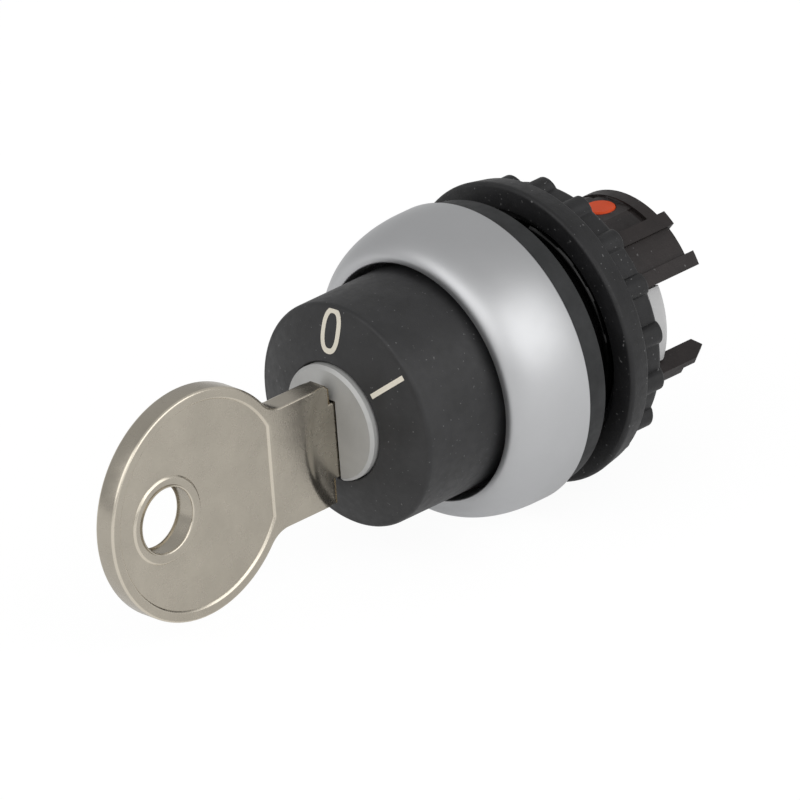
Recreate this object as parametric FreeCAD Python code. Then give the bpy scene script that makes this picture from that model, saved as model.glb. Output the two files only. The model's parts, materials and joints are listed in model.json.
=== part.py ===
"""Key-operated selector actuator for a 22 mm panel hole, as separate solids.

Frame: the switch axis is Y and the key points to -Y, +Z is up and +X is to the
right for someone who looks at the front of the panel. The origin is on the axis,
in the plane where the panel seal meets the panel. Lengths are in millimetres.
"""
import FreeCAD, Part

import math
import os

from FreeCAD import Vector

# ---------------------------------------------------------------- driving sizes
RUN = 0.06          # radial running clearance of turning and sliding fits
FIT = 0.10          # clearance between fixed pieces that nest in each other
PLAY = 0.30         # clear gap between moving pieces that must not touch
TOUCH = 0.02        # gap left between soft pieces and what they seal or press on
PAST = 1.0          # how far a cutter reaches past the face it cuts
HAIR = 0.01         # reach past an edge where two cuts only have to meet

# panel seal and front ring
SEAL_THICKNESS = 2.65
SEAL_INSET = 0.55
SEAL_TAPER = 0.1
SEAL_CHAMFER = 0.15
RING_OVER_PANEL = 3.85
RING_DEPTH = 8.1
RING_STRAIGHT = 1.6
RING_LIP_WIDTH = 0.6
RING_LIP_DEPTH = 0.9
RING_WALL = 1.2

# fixed marked collar
COLLAR_RADIUS = 11.1
COLLAR_LENGTH = 13.1
COLLAR_EDGE = 0.5
COLLAR_DOME = 1.5
COLLAR_GAP = 0.5
COLLAR_FACE_BOW = 0.12

# body sleeve that goes through the panel
SLEEVE_RADIUS = 11.0
SLEEVE_BEHIND_RING = 10.9
SLEEVE_WALL = 1.55
SLEEVE_CHAMFER = 0.4
KEYING_GROOVE_FROM = 0.2
FLANGE_THICKNESS = 4.2
SPIGOT_LENGTH = 2.6
SPIGOT_WALL = 0.9
KEYING_GROOVE_WIDTH = 2.4
KEYING_GROOVE_DEPTH = 0.5

# lock nut
NUT_FRONT = 2.75
NUT_FLANGE_THICKNESS = 2.6
NUT_FLANGE_RADIUS = 14.95
NUT_FLANGE_TAPER = 0.5
NUT_RING_LENGTH = 3.0
NUT_RING_WALL = 2.1
NUT_RECESS_WIDTH = 1.4
NUT_RECESS_DEPTH = 1.3
NUT_NUB_COUNT = 17
NUT_NUB_PHASE = 28.6
NUT_NUB_RADIUS = 1.0
NUT_NUB_PROUD = 0.85
NUT_NUB_ROUND = 0.45
NUT_SOFT = 0.4

# lock plug, barrel and key
PLUG_RADIUS = 5.5
PLUG_HEAD_RADIUS = 5.75
PLUG_HEAD_THICKNESS = 2.4
PLUG_HEAD_CHAMFER = 0.3
PLUG_PROUD = 0.7
PLUG_BEHIND_BARREL = 1.04
PLUG_HOLE_GAP = 0.1
BARREL_RADIUS = 8.6
BARREL_GROOVE = 0.7
BARREL_WAFER_ROOM = 1.1
WAFER_THICKNESS = 0.8
WAFER_FIRST = 1.4
WAFER_SIDE_GAP = 0.05
WAFER_HALF_WIDTH = 3.6
WAFER_SPRING_RADIUS = 0.5
WAFER_SPRING_WIRE = 0.12
WAFER_SPRING_LENGTH = 2.2
WAFER_SPRING_LOW = 1.9
CLIP_THICKNESS = 0.6
CLIP_RADIUS = 6.9
CLIP_GROOVE_DEPTH = 0.8
CLIP_MOUTH = 5.2
CLIP_ARM = 0.6
CLIP_EAR_HALF_ANGLE = 20.0
CLIP_ARM_ANGLE = 50.0

KEY_THICKNESS = 2.35
BLADE_THICKNESS = 1.85
BLADE_TOP = 2.4
BLADE_BOTTOM = 5.2
BLADE_GROOVE_DEPTH = 0.35
BLADE_GROOVE_LOW = 1.9
BLADE_GROOVE_TOP = 0.5
BLADE_TIP = 1.3
BLADE_TIP_DROP = 1.56
KEYWAY_GAP = 0.15
KEYWAY_WALL = 0.4
KEY_CUTS = (1.1, 0.5, 1.3, 0.8, 1.2, 0.6)
KEY_CUT_FLAT = 0.3
KEY_CUT_SHARE = 0.48   # half width of a cut as a share of the wafer pitch
BLADE_IN_NECK = 2.0
BOW_RADIUS = 11.3
BOW_CENTRE_DROP = 1.35
BOW_FROM_SHOULDER = 17.25
BOW_RIM = 1.0
BOW_PANEL_DEPTH = 0.2
KEY_HOLE_RADIUS = 3.2
KEY_HOLE_COLLAR = 0.95
KEY_HOLE_OFFSET = 4.2
NECK_TOP = 4.5
NECK_BOTTOM = 7.6
NECK_START = 9.2
NECK_FILLET = 3.0
NECK_GAP = 0.55
SHOULDER_CHAMFER = 1.0
MILL_RADIUS = 10.0
MILL_LENGTH = 3.6
MILL_DROP = 1.4

# cam rotor, tappet and the rear frame
TURN_RANGE = 60.0
TAPPET_TRAVEL = 4.0
RAMP_SPAN = 110.0
RAMP_INNER = 5.0
RAMP_GAP = 0.7
ROTOR_THICKNESS = 3.3
ROTOR_IN_FLANGE = 2.0
ROTOR_GAP = 0.5
TAIL_WIDTH = 5.0
TAIL_THICKNESS = 2.0
TAIL_DEPTH = 1.2
TAPPET_REAR = 12.8
TAPPET_WEB = 2.8
TAPPET_CORE_GAP = 0.6
WING_PROUD = 0.75
WING_FOOT = 0.6
WING_BEHIND_SLEEVE = 0.4
WING_ROOT_HALF_ANGLE = 60.0
WING_ROUND = 0.7
CUP_RADIUS = 4.2
CUP_WALL = 0.9
CUP_DEPTH = 7.2

FRAME_STEP = 0.45
FRAME_WALL = 0.8
FRAME_FRONT = 0.6
FRAME_REAR = 17.35
FRAME_RIM = 1.3
FRAME_GROOVE_DEPTH = 0.4
FRAME_GROOVE_WIDTH = 0.8
WINDOW_HALF_ANGLE = 24.6
BRIDGE_WIDTH = 5.4
BRIDGE_THICKNESS = 1.5
PRONG_SUNK = 0.2
PRONG_PROUD = 1.6
PRONG_RIB = 0.35
PRONG_SPARE_ANGLE = 0.5
UPPER_PRONG_END_ANGLE = 56.0
UPPER_PRONG_REAR = 15.95
UPPER_RIB_START_ANGLE = 48.0
UPPER_RIB_REAR = 16.55
UPPER_TIP_ANGLE = 32.0
UPPER_TIP_REAR = 16.9
LOWER_RELIEF_ANGLE = 50.0
LOWER_RELIEF_FRONT = 12.9
LOWER_PRONG_END_ANGLE = 35.5
LOWER_PRONG_REAR = 14.8
LOWER_TIP_ANGLE = 28.2
LOWER_TIP_REAR = 17.45
LOWER_TIP_INNER_BEVEL = 0.5
LOWER_TIP_OUTER_BEVEL = 1.8
CODING_PIN_RADIUS = 1.5
CODING_PIN_FROM_REAR = 3.25
CODING_PIN_LENGTH = 0.95
CODING_PIN_SUNK = 0.2
CODING_BOSS_WALL = 0.7
CODING_PIN_FILLET = 0.2
CODING_RECESS = 0.35
CODING_RECESS_HALF = 1.8

# index balls, seals and springs
BALL_POCKET_WALL = 0.7
BALL_SHARE = 0.22      # ball radius as a share of the pocket's room
NOTCH_DEPTH = 0.3
BARREL_SEAL_WIDTH = 1.4
BARREL_SEAL_AT = 6.0
COLLAR_SEAL_WIDTH = 1.0
SPRING_RADIUS = 2.6
SPRING_WIRE = 0.45
SPRING_TURNS = 5
SMALL_SPRING_TURNS = 3
COIL_STEPS = 12        # straights per turn of every spring
COIL_SIDES = 6         # flats round the wire of every spring

# ---------------------------------------------------------------- derived places
WAFER_COUNT = len(KEY_CUTS)
RING_RADIUS = SLEEVE_RADIUS + RING_OVER_PANEL
RING_LIP_RADIUS = COLLAR_RADIUS + COLLAR_GAP + RING_LIP_WIDTH
SEAL_RADIUS = RING_RADIUS - SEAL_INSET
SLEEVE_BORE = SLEEVE_RADIUS - SLEEVE_WALL
NUT_RING_RADIUS = SLEEVE_RADIUS + NUT_RING_WALL
NUT_RECESS_RADIUS = SLEEVE_RADIUS + NUT_RECESS_WIDTH
NUT_NUB_REACH = NUT_RING_RADIUS + NUT_NUB_PROUD
FRAME_RADIUS = SLEEVE_BORE - FRAME_STEP
RING_REAR = -SEAL_THICKNESS
RING_FRONT = RING_REAR - RING_DEPTH
FLANGE_FRONT = RING_REAR - FLANGE_THICKNESS
COLLAR_REAR = FLANGE_FRONT
COLLAR_EDGE_Y = COLLAR_REAR - COLLAR_LENGTH
COLLAR_HOLE = PLUG_HEAD_RADIUS + PLUG_HOLE_GAP
COLLAR_NOSE = COLLAR_EDGE_Y - COLLAR_DOME
COLLAR_BORE = BARREL_RADIUS + FIT
FLANGE_RADIUS = RING_RADIUS - RING_WALL - FIT
PLUG_FRONT = COLLAR_NOSE - PLUG_PROUD
PLUG_SEAT = PLUG_FRONT + PLUG_HEAD_THICKNESS
BARREL_FRONT = PLUG_SEAT + RUN
ROTOR_FRONT = FLANGE_FRONT + ROTOR_IN_FLANGE
ROTOR_REAR = ROTOR_FRONT + ROTOR_THICKNESS
PLUG_REAR = ROTOR_FRONT - ROTOR_GAP
BARREL_REAR = PLUG_REAR - PLUG_BEHIND_BARREL
SLEEVE_REAR = RING_REAR + SLEEVE_BEHIND_RING
SPIGOT_RADIUS = BARREL_RADIUS + FIT + SPIGOT_WALL
NUT_REAR = NUT_FRONT + NUT_FLANGE_THICKNESS + NUT_RING_LENGTH
RAMP_RISE = TAPPET_TRAVEL * RAMP_SPAN / TURN_RANGE
RAMP_PITCH = TAPPET_TRAVEL * 360.0 / TURN_RANGE
TAPPET_FACE = ROTOR_REAR + RAMP_RISE + PLAY
WINDOW_FRONT = TAPPET_FACE - PLAY
KEY_SHOULDER = PLUG_FRONT - NECK_GAP
BOW_CENTRE = KEY_SHOULDER - BOW_FROM_SHOULDER
KEYWAY_END = PLUG_REAR - TAIL_DEPTH - FIT - KEYWAY_WALL
BLADE_END = KEYWAY_END - FIT
FIRST_CUT = PLUG_SEAT + WAFER_FIRST + WAFER_THICKNESS / 2.0
WAFER_PITCH = (BLADE_END - BLADE_TIP - FIRST_CUT) / (WAFER_COUNT - 0.5)
FRAME_BORE = FRAME_RADIUS - FRAME_WALL
PRONG_INNER = FRAME_RADIUS - PRONG_SUNK
PRONG_OUTER = FRAME_RADIUS + PRONG_PROUD
WING_RADIUS = FRAME_RADIUS + WING_PROUD
RAMP_OUTER = FRAME_BORE - RAMP_GAP
TAPPET_CORE_RADIUS = FRAME_BORE - TAPPET_CORE_GAP
CODING_PIN_TOP = FRAME_RADIUS - CODING_PIN_SUNK
BALL_ROOM = FLANGE_RADIUS - BALL_POCKET_WALL - SLEEVE_BORE
BALL_RADIUS = BALL_SHARE * BALL_ROOM
BALL_PLACE = ROTOR_FRONT + BALL_RADIUS + FIT
AXIS = Vector(0, 1, 0)
ORIGIN = Vector(0, 0, 0)


# ---------------------------------------------------------------- small helpers
def rod(radius, front, rear):
    """Solid cylinder on the switch axis between two Y places."""
    return Part.makeCylinder(radius, rear - front, Vector(0, front, 0), AXIS)


def tube(outer, inner, front, rear):
    """Open tube on the switch axis."""
    return rod(outer, front, rear).cut(rod(inner, front - PAST, rear + PAST))


def block(x0, x1, y0, y1, z0, z1):
    """Box from its lower to its upper corner."""
    return Part.makeBox(x1 - x0, y1 - y0, z1 - z0, Vector(x0, y0, z0))


def turned(edges):
    """Revolve a closed profile of (radius, y) edges about the switch axis."""
    face = Part.Face(Part.Wire(edges))
    return face.revolve(ORIGIN, AXIS, 360)


def point(radius, y):
    """Point of a turned profile."""
    return Vector(radius, y, 0)


def outline(points):
    """Closed polygon profile of (radius, y) points, turned about the axis."""
    corners = [point(r, y) for r, y in points]
    return turned(Part.makePolygon(corners + corners[:1]).Edges)


def sector(inner, outer, front, rear, start, end):
    """Part of a tube between two angles, measured from +X towards +Z."""
    reach = outer * 3.0
    spread = [start, (start + end) / 2.0, end]
    rays = [Vector(reach * math.cos(math.radians(a)), front, reach * math.sin(math.radians(a)))
            for a in spread]
    wedge = Part.Face(Part.makePolygon([Vector(0, front, 0)] + rays + [Vector(0, front, 0)]))
    wedge = wedge.extrude(Vector(0, rear - front, 0))
    return tube(outer, inner, front, rear).common(wedge)


def spun(shape, angle):
    """Copy turned about the switch axis from +X towards +Z."""
    copy = shape.copy()
    copy.rotate(ORIGIN, Vector(0, -1, 0), angle)
    return copy


def mirrored(shape):
    """Copy on the other side of the vertical middle plane."""
    return shape.mirror(ORIGIN, Vector(1, 0, 0))


def fused(shapes):
    """One solid from touching solids, with seams between coplanar faces removed."""
    whole = shapes[0]
    if len(shapes) > 1:
        whole = whole.fuse(shapes[1:])
    return whole.removeSplitter()


def coil(radius, wire, length, turns):
    """Spring along +Z from its first to its last wire centre, its wire in short straights."""
    count = turns * COIL_STEPS
    spots = []
    for i in range(count + 1):
        angle = 2.0 * math.pi * i / COIL_STEPS
        spots.append(Vector(radius * math.cos(angle), radius * math.sin(angle), length * i / count))
    along = (spots[1] - spots[0]).normalize()
    side = Vector(0, 0, 1).cross(along).normalize()
    ring = [spots[0] + turned_about(side * wire, along, 360.0 * k / COIL_SIDES)
            for k in range(COIL_SIDES)]
    section = Part.makePolygon(ring + ring[:1])
    mitred = 1
    return Part.Wire(Part.makePolygon(spots)).makePipeShell([section], True, False, mitred)


def turned_about(arm, axis, angle):
    """Arm turned about an axis through the origin."""
    return FreeCAD.Rotation(axis, angle).multVec(arm)


# ---------------------------------------------------------------- fixed pieces
def front_ring():
    """Convex metal bezel: a spun shell with a rolled inner lip."""
    bore = COLLAR_RADIUS + COLLAR_GAP
    lip_start = point(RING_LIP_RADIUS, RING_FRONT)
    shoulder = point(RING_RADIUS, RING_REAR - RING_STRAIGHT)
    centre = point(RING_LIP_RADIUS, RING_REAR - RING_STRAIGHT)
    crown = Part.ArcOfEllipse(Part.Ellipse(lip_start, shoulder, centre), 0, math.pi / 2.0)
    roll = (RING_LIP_RADIUS - bore) / 3.0
    lip_end = point(bore + roll, RING_FRONT + 1.7 * roll)
    lip_top = point(bore + 2.0 * roll, RING_FRONT + 0.2 * roll)
    inner = RING_RADIUS - RING_WALL
    seat = FLANGE_FRONT - FIT
    rest = [lip_end, point(bore, RING_FRONT + RING_LIP_DEPTH), point(bore, seat), point(inner, seat),
            point(inner, RING_REAR), point(RING_RADIUS, RING_REAR), shoulder]
    edges = [crown.toShape(), Part.Arc(lip_start, lip_top, lip_end).toShape()]
    edges += Part.makePolygon(rest).Edges
    return turned(edges)


def panel_seal():
    """Rubber washer between the front ring and the panel, a little tapered."""
    bore = SLEEVE_RADIUS + FIT
    rim = SEAL_RADIUS - SEAL_TAPER
    return outline([(SEAL_RADIUS, RING_REAR), (rim, -SEAL_CHAMFER), (rim - SEAL_CHAMFER, 0),
                    (bore, 0), (bore, RING_REAR)])


def key_collar():
    """Fixed cap round the lock, with a shallow domed face that carries the marks."""
    flat = BARREL_FRONT - FIT
    spigot = SPIGOT_RADIUS + FIT
    deep = COLLAR_REAR - SPIGOT_LENGTH - FIT
    rim = point(COLLAR_RADIUS, COLLAR_EDGE_Y + COLLAR_EDGE)
    face = point(COLLAR_RADIUS - COLLAR_EDGE, COLLAR_EDGE_Y)
    corner = (1.0 - math.sqrt(0.5)) * COLLAR_EDGE
    edge_mid = point(COLLAR_RADIUS - corner, COLLAR_EDGE_Y + corner)
    nose = point(COLLAR_HOLE, COLLAR_NOSE)
    crown = point((face.x + nose.x) / 2.0, (face.y + nose.y) / 2.0 - COLLAR_FACE_BOW)
    rest = [nose, point(COLLAR_HOLE, flat), point(COLLAR_BORE, flat), point(COLLAR_BORE, deep),
            point(spigot, deep), point(spigot, COLLAR_REAR), point(COLLAR_RADIUS, COLLAR_REAR), rim]
    edges = [Part.Arc(rim, edge_mid, face).toShape(), Part.Arc(face, crown, nose).toShape()]
    return turned(edges + Part.makePolygon(rest).Edges)


def collar_seal():
    """Soft ring in the gap between the collar and the front ring."""
    inner = COLLAR_RADIUS + TOUCH
    outer = COLLAR_RADIUS + COLLAR_GAP - TOUCH
    return tube(outer, inner, COLLAR_REAR - COLLAR_SEAL_WIDTH, COLLAR_REAR)


def housing_sleeve():
    """Body through the panel: flange under the ring, spigot for the collar, bored rear."""
    bore = BARREL_RADIUS + FIT
    step = ROTOR_FRONT - PLAY
    spigot_front = FLANGE_FRONT - SPIGOT_LENGTH
    chamfer = SLEEVE_CHAMFER
    body = outline([(bore, spigot_front), (SPIGOT_RADIUS, spigot_front),
                    (SPIGOT_RADIUS, FLANGE_FRONT), (FLANGE_RADIUS, FLANGE_FRONT),
                    (FLANGE_RADIUS, RING_REAR), (SLEEVE_RADIUS, RING_REAR),
                    (SLEEVE_RADIUS, SLEEVE_REAR - chamfer),
                    (SLEEVE_RADIUS - chamfer, SLEEVE_REAR), (SLEEVE_BORE, SLEEVE_REAR),
                    (SLEEVE_BORE, step), (bore, step)])
    half = KEYING_GROOVE_WIDTH / 2.0
    floor = SLEEVE_RADIUS - KEYING_GROOVE_DEPTH
    for side in (-1, 1):
        low, high = sorted((side * floor, side * (SLEEVE_RADIUS + PAST)))
        body = body.cut(block(-half, half, KEYING_GROOVE_FROM, SLEEVE_REAR + PAST, low, high))
        body = body.cut(ball_pocket(side))
    return body


def ball_pocket(side):
    """Radial hole in the sleeve for an index ball and its spring."""
    start = SLEEVE_BORE - BALL_RADIUS
    end = FLANGE_RADIUS - BALL_POCKET_WALL
    return Part.makeCylinder(BALL_RADIUS + RUN, end - start,
                             Vector(0, BALL_PLACE, side * start), Vector(0, 0, side))


def lock_barrel():
    """Metal barrel that the plug turns in, with grooves for wafers and for its seal."""
    body = tube(BARREL_RADIUS, PLUG_RADIUS + RUN, BARREL_FRONT, BARREL_REAR)
    half = 0.7 * WAFER_HALF_WIDTH
    reach = PLUG_RADIUS + RUN + BARREL_WAFER_ROOM
    body = body.cut(block(-half, half, BARREL_FRONT + WAFER_FIRST - PLAY,
                          BARREL_REAR - WAFER_THICKNESS, -reach, reach))
    seal_front = BARREL_FRONT + BARREL_SEAL_AT
    groove = tube(BARREL_RADIUS + PAST, BARREL_RADIUS - BARREL_GROOVE,
                  seal_front, seal_front + BARREL_SEAL_WIDTH + 2 * FIT)
    return body.cut(groove)


def barrel_seal():
    """Seal ring in the barrel's groove."""
    front = BARREL_FRONT + BARREL_SEAL_AT + FIT
    return tube(BARREL_RADIUS + FIT / 2, BARREL_RADIUS - BARREL_GROOVE + TOUCH,
                front, front + BARREL_SEAL_WIDTH)


def lock_nut():
    """Ring nut: wide flange, narrower grip ring with rounded nubs, recessed front."""
    bore = SLEEVE_RADIUS + FIT
    flange_rear = NUT_FRONT + NUT_FLANGE_THICKNESS
    soft = NUT_SOFT
    rear_radius = NUT_FLANGE_RADIUS - NUT_FLANGE_TAPER
    body = outline([(NUT_RECESS_RADIUS, NUT_FRONT), (NUT_FLANGE_RADIUS - soft, NUT_FRONT),
                    (NUT_FLANGE_RADIUS, NUT_FRONT + soft),
                    (rear_radius, flange_rear - soft),
                    (rear_radius - soft, flange_rear), (NUT_RING_RADIUS, flange_rear),
                    (NUT_RING_RADIUS, NUT_REAR), (bore, NUT_REAR),
                    (bore, NUT_FRONT + NUT_RECESS_DEPTH),
                    (NUT_RECESS_RADIUS, NUT_FRONT + NUT_RECESS_DEPTH)])
    nub = grip_nub(flange_rear)
    step = 360.0 / NUT_NUB_COUNT
    nubs = [spun(nub, NUT_NUB_PHASE + step * i) for i in range(NUT_NUB_COUNT)]
    return fused([body] + nubs)


def grip_nub(front):
    """One rounded nub of the nut, a half-round post with a domed rear edge."""
    centre = NUT_NUB_REACH - NUT_NUB_RADIUS
    start = front - PLAY
    post = Part.makeCylinder(NUT_NUB_RADIUS, NUT_REAR - start, Vector(centre, start, 0), AXIS)
    root = block(NUT_RING_RADIUS - NUT_SOFT, centre, start, NUT_REAR, -NUT_NUB_RADIUS, NUT_NUB_RADIUS)
    nub = post.fuse(root)
    reach = NUT_NUB_REACH + NUT_RING_LENGTH
    cone = Part.makeCone(reach, NUT_NUB_REACH - NUT_NUB_ROUND, NUT_RING_LENGTH + NUT_NUB_ROUND,
                         Vector(0, NUT_REAR - NUT_RING_LENGTH - NUT_NUB_ROUND, 0), AXIS)
    return nub.common(cone)


def bayonet_frame():
    """Rear frame: tube with side windows, a bridge for the spring and locating prongs."""
    groove_rear = FRAME_REAR - FRAME_RIM
    groove_front = groove_rear - FRAME_GROOVE_WIDTH
    groove = FRAME_RADIUS - FRAME_GROOVE_DEPTH
    seat = SLEEVE_BORE - FIT
    body = outline([(FRAME_BORE, FRAME_FRONT), (seat, FRAME_FRONT), (seat, SLEEVE_REAR),
                    (FRAME_RADIUS, SLEEVE_REAR), (FRAME_RADIUS, groove_front),
                    (groove, groove_front), (groove, groove_rear), (FRAME_RADIUS, groove_rear),
                    (FRAME_RADIUS, FRAME_REAR), (FRAME_BORE, FRAME_REAR)])
    body = body.fuse([bridge(), coding_boss()])
    right = sector(FRAME_BORE - PAST, FRAME_RADIUS + PAST, LOWER_RELIEF_FRONT, FRAME_REAR + PAST,
                   -LOWER_RELIEF_ANGLE, -WINDOW_HALF_ANGLE)
    body = body.cut(right).cut(mirrored(right))
    body = body.fuse([prongs(), mirrored(prongs())])
    span = WINDOW_HALF_ANGLE
    for middle in (0.0, 180.0):
        window = sector(FRAME_BORE - PAST, PRONG_OUTER + PAST, WINDOW_FRONT, LOWER_TIP_REAR + PAST,
                        middle - span, middle + span)
        body = body.cut(window)
    return body.cut(coding_hole()).removeSplitter()


def bridge():
    """Upright bar across the rear of the frame, the seat of the tappet's spring."""
    half = BRIDGE_WIDTH / 2.0
    reach = (FRAME_BORE + FRAME_RADIUS) / 2.0
    bar = block(-half, half, FRAME_REAR - BRIDGE_THICKNESS, FRAME_REAR, -reach, reach)
    return bar.common(rod(reach, FRAME_REAR - BRIDGE_THICKNESS, FRAME_REAR))


def prongs():
    """Upper and lower locating prong on the right, fused across the tube wall."""
    front = SLEEVE_REAR + TOUCH
    start = WINDOW_HALF_ANGLE - PRONG_SPARE_ANGLE
    top = PRONG_OUTER + PRONG_RIB
    pieces = [
        sector(PRONG_INNER, PRONG_OUTER, front, UPPER_PRONG_REAR, start, UPPER_PRONG_END_ANGLE),
        sector(PRONG_INNER, top, front, UPPER_RIB_REAR, UPPER_RIB_START_ANGLE,
               UPPER_PRONG_END_ANGLE),
        sector(PRONG_INNER, top, front, UPPER_TIP_REAR, start, UPPER_TIP_ANGLE),
        sector(PRONG_INNER, PRONG_OUTER, front, LOWER_PRONG_REAR, -LOWER_PRONG_END_ANGLE, -start),
        pointed_tip(front, start),
    ]
    return fused(pieces)


def pointed_tip(front, start):
    """Narrow tip of the lower prong, bevelled to an edge at its rear end."""
    top = PRONG_OUTER + PRONG_RIB
    tip = sector(PRONG_INNER, top, front, LOWER_TIP_REAR, -LOWER_TIP_ANGLE, -start)
    middle = (PRONG_INNER + top) / 2.0
    inner = PRONG_INNER - HAIR
    outer = top + HAIR
    roof = outline([(inner, front), (outer, front),
                    (outer, LOWER_TIP_REAR - LOWER_TIP_OUTER_BEVEL),
                    (middle, LOWER_TIP_REAR),
                    (inner, LOWER_TIP_REAR - LOWER_TIP_INNER_BEVEL)])
    return tip.common(roof)


def coding_place():
    """Y place of the coding pin."""
    return FRAME_REAR - CODING_PIN_FROM_REAR


def coding_boss():
    """Thicker wall inside the tube where the coding pin stands."""
    half = CODING_PIN_RADIUS + CODING_BOSS_WALL
    place = coding_place()
    boss = block(-half, half, place - half, place + half,
                 CODING_PIN_TOP - CODING_PIN_LENGTH - KEYWAY_GAP, FRAME_RADIUS)
    return boss.common(rod(FRAME_RADIUS - FRAME_WALL / 4.0, place - half, place + half))


def coding_hole():
    """Blind seat of the coding pin with a shallow flat round it."""
    foot = CODING_PIN_TOP - CODING_PIN_LENGTH
    pin = Part.makeCylinder(CODING_PIN_RADIUS + RUN, FRAME_RADIUS,
                            Vector(0, coding_place(), foot), Vector(0, 0, 1))
    half = CODING_RECESS_HALF
    floor = FRAME_RADIUS - CODING_RECESS
    recess = block(-2 * half, 2 * half, coding_place() - half, coding_place() + half,
                   floor, FRAME_RADIUS + PAST)
    return pin.fuse(recess)


def coding_pin():
    """Coloured coding pin that sets how the switch returns."""
    foot = CODING_PIN_TOP - CODING_PIN_LENGTH
    pin = Part.makeCylinder(CODING_PIN_RADIUS, CODING_PIN_LENGTH,
                            Vector(0, coding_place(), foot), Vector(0, 0, 1))
    rim = [e for e in pin.Edges if abs(e.BoundBox.ZMin - CODING_PIN_TOP) < HAIR]
    return pin.makeFillet(CODING_PIN_FILLET, rim)


# ---------------------------------------------------------------- lock and key
def lock_plug():
    """Turning plug with a flat head, a keyway open at the bottom and wafer slots."""
    head = rod(PLUG_HEAD_RADIUS, PLUG_FRONT, PLUG_SEAT)
    rim = [e for e in head.Edges if abs(e.BoundBox.YMax - PLUG_FRONT) < HAIR]
    head = head.makeChamfer(PLUG_HEAD_CHAMFER, rim)
    body = head.fuse(rod(PLUG_RADIUS, PLUG_SEAT, PLUG_REAR)).removeSplitter()
    half = BLADE_THICKNESS / 2.0 + KEYWAY_GAP
    body = body.cut(block(-half, half, PLUG_FRONT - PAST, KEYWAY_END,
                          -PLUG_HEAD_RADIUS - PAST, BLADE_TOP + KEYWAY_GAP))
    for i in range(WAFER_COUNT):
        body = body.cut(wafer_slot(i))
    body = body.cut(tube(PLUG_RADIUS + PAST, PLUG_RADIUS - CLIP_GROOVE_DEPTH,
                         clip_front() - TOUCH, clip_front() + CLIP_THICKNESS + TOUCH))
    slot = TAIL_THICKNESS / 2.0 + FIT
    wide = TAIL_WIDTH / 2.0 + FIT
    return body.cut(block(-wide, wide, PLUG_REAR - TAIL_DEPTH - FIT, PLUG_REAR + PAST, -slot, slot))


def clip_front():
    """Front face of the retaining clip, just behind the barrel."""
    return BARREL_REAR + RUN


def wafer_place(i):
    """Front face of wafer number i."""
    return PLUG_SEAT + WAFER_FIRST + i * WAFER_PITCH


def wafer_slot(i):
    """Slot across the plug for one wafer."""
    half = WAFER_HALF_WIDTH + FIT
    front = wafer_place(i) - WAFER_SIDE_GAP
    return block(-half, half, front, front + WAFER_THICKNESS + 2.0 * WAFER_SIDE_GAP,
                 -PLUG_RADIUS, PLUG_RADIUS)


def wafer(i):
    """Flat wafer that straddles the blade, with a round-cornered plate outline."""
    front = wafer_place(i)
    rear = front + WAFER_THICKNESS
    plate = block(-WAFER_HALF_WIDTH, WAFER_HALF_WIDTH, front, rear, -PLUG_RADIUS, PLUG_RADIUS)
    plate = plate.common(rod(PLUG_RADIUS - FIT, front, rear))
    half = BLADE_THICKNESS / 2.0 + KEYWAY_GAP
    mouth = block(-half, half, front - PAST, rear + PAST, -PLUG_RADIUS - PAST,
                  BLADE_TOP + KEYWAY_GAP)
    plate = plate.cut(mouth)
    return plate.cut(spring_nook(i))


def spring_nook(i):
    """Notch in one side of a wafer where its spring stands."""
    side = 1 if i % 2 else -1
    spare = WAFER_SPRING_WIRE + 2.0 * FIT
    inner = WAFER_HALF_WIDTH - 2.0 * (WAFER_SPRING_RADIUS + FIT)
    low, high = sorted((side * inner, side * (WAFER_HALF_WIDTH + PAST)))
    bottom = -WAFER_SPRING_LOW - spare
    return block(low, high, wafer_place(i) - PAST, wafer_place(i) + WAFER_THICKNESS + PAST,
                 bottom, WAFER_SPRING_LENGTH - WAFER_SPRING_LOW + spare)


def wafer_springs():
    """One small spring beside each wafer, as a group."""
    springs = []
    for i in range(WAFER_COUNT):
        side = 1 if i % 2 else -1
        wire = WAFER_SPRING_WIRE
        spring = coil(WAFER_SPRING_RADIUS - 2.0 * wire, wire, WAFER_SPRING_LENGTH,
                      SMALL_SPRING_TURNS)
        place = Vector(side * (WAFER_HALF_WIDTH - WAFER_SPRING_RADIUS - FIT),
                       wafer_place(i) + WAFER_THICKNESS / 2.0, -WAFER_SPRING_LOW)
        spring.translate(place)
        springs.append(spring)
    return Part.makeCompound(springs)


def retaining_clip():
    """Open clip in the plug's groove, which holds the plug in the barrel."""
    front = clip_front()
    rear = front + CLIP_THICKNESS
    ring = tube(CLIP_RADIUS, PLUG_RADIUS - CLIP_GROOVE_DEPTH + TOUCH, front, rear)
    gap = CLIP_MOUTH / 2.0
    mouth = block(-gap, gap, front - PAST, rear + PAST, -CLIP_RADIUS - PAST, 0)
    ear = 90.0 - CLIP_EAR_HALF_ANGLE
    ears = sector(PLUG_RADIUS, CLIP_RADIUS, front, rear, ear, 180.0 - ear)
    relief = sector(PLUG_RADIUS + CLIP_ARM, CLIP_RADIUS + PAST, front - PAST, rear + PAST,
                    ear - CLIP_ARM_ANGLE, ear)
    return ring.cut(mouth).cut(relief).cut(mirrored(relief)).fuse(ears).removeSplitter()


def drive_tail():
    """Flat drive bar from the plug to the cam rotor."""
    thick = TAIL_THICKNESS / 2.0
    wide = TAIL_WIDTH / 2.0
    return block(-wide, wide, PLUG_REAR - TAIL_DEPTH, ROTOR_FRONT + TAIL_DEPTH, -thick, thick)


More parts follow.
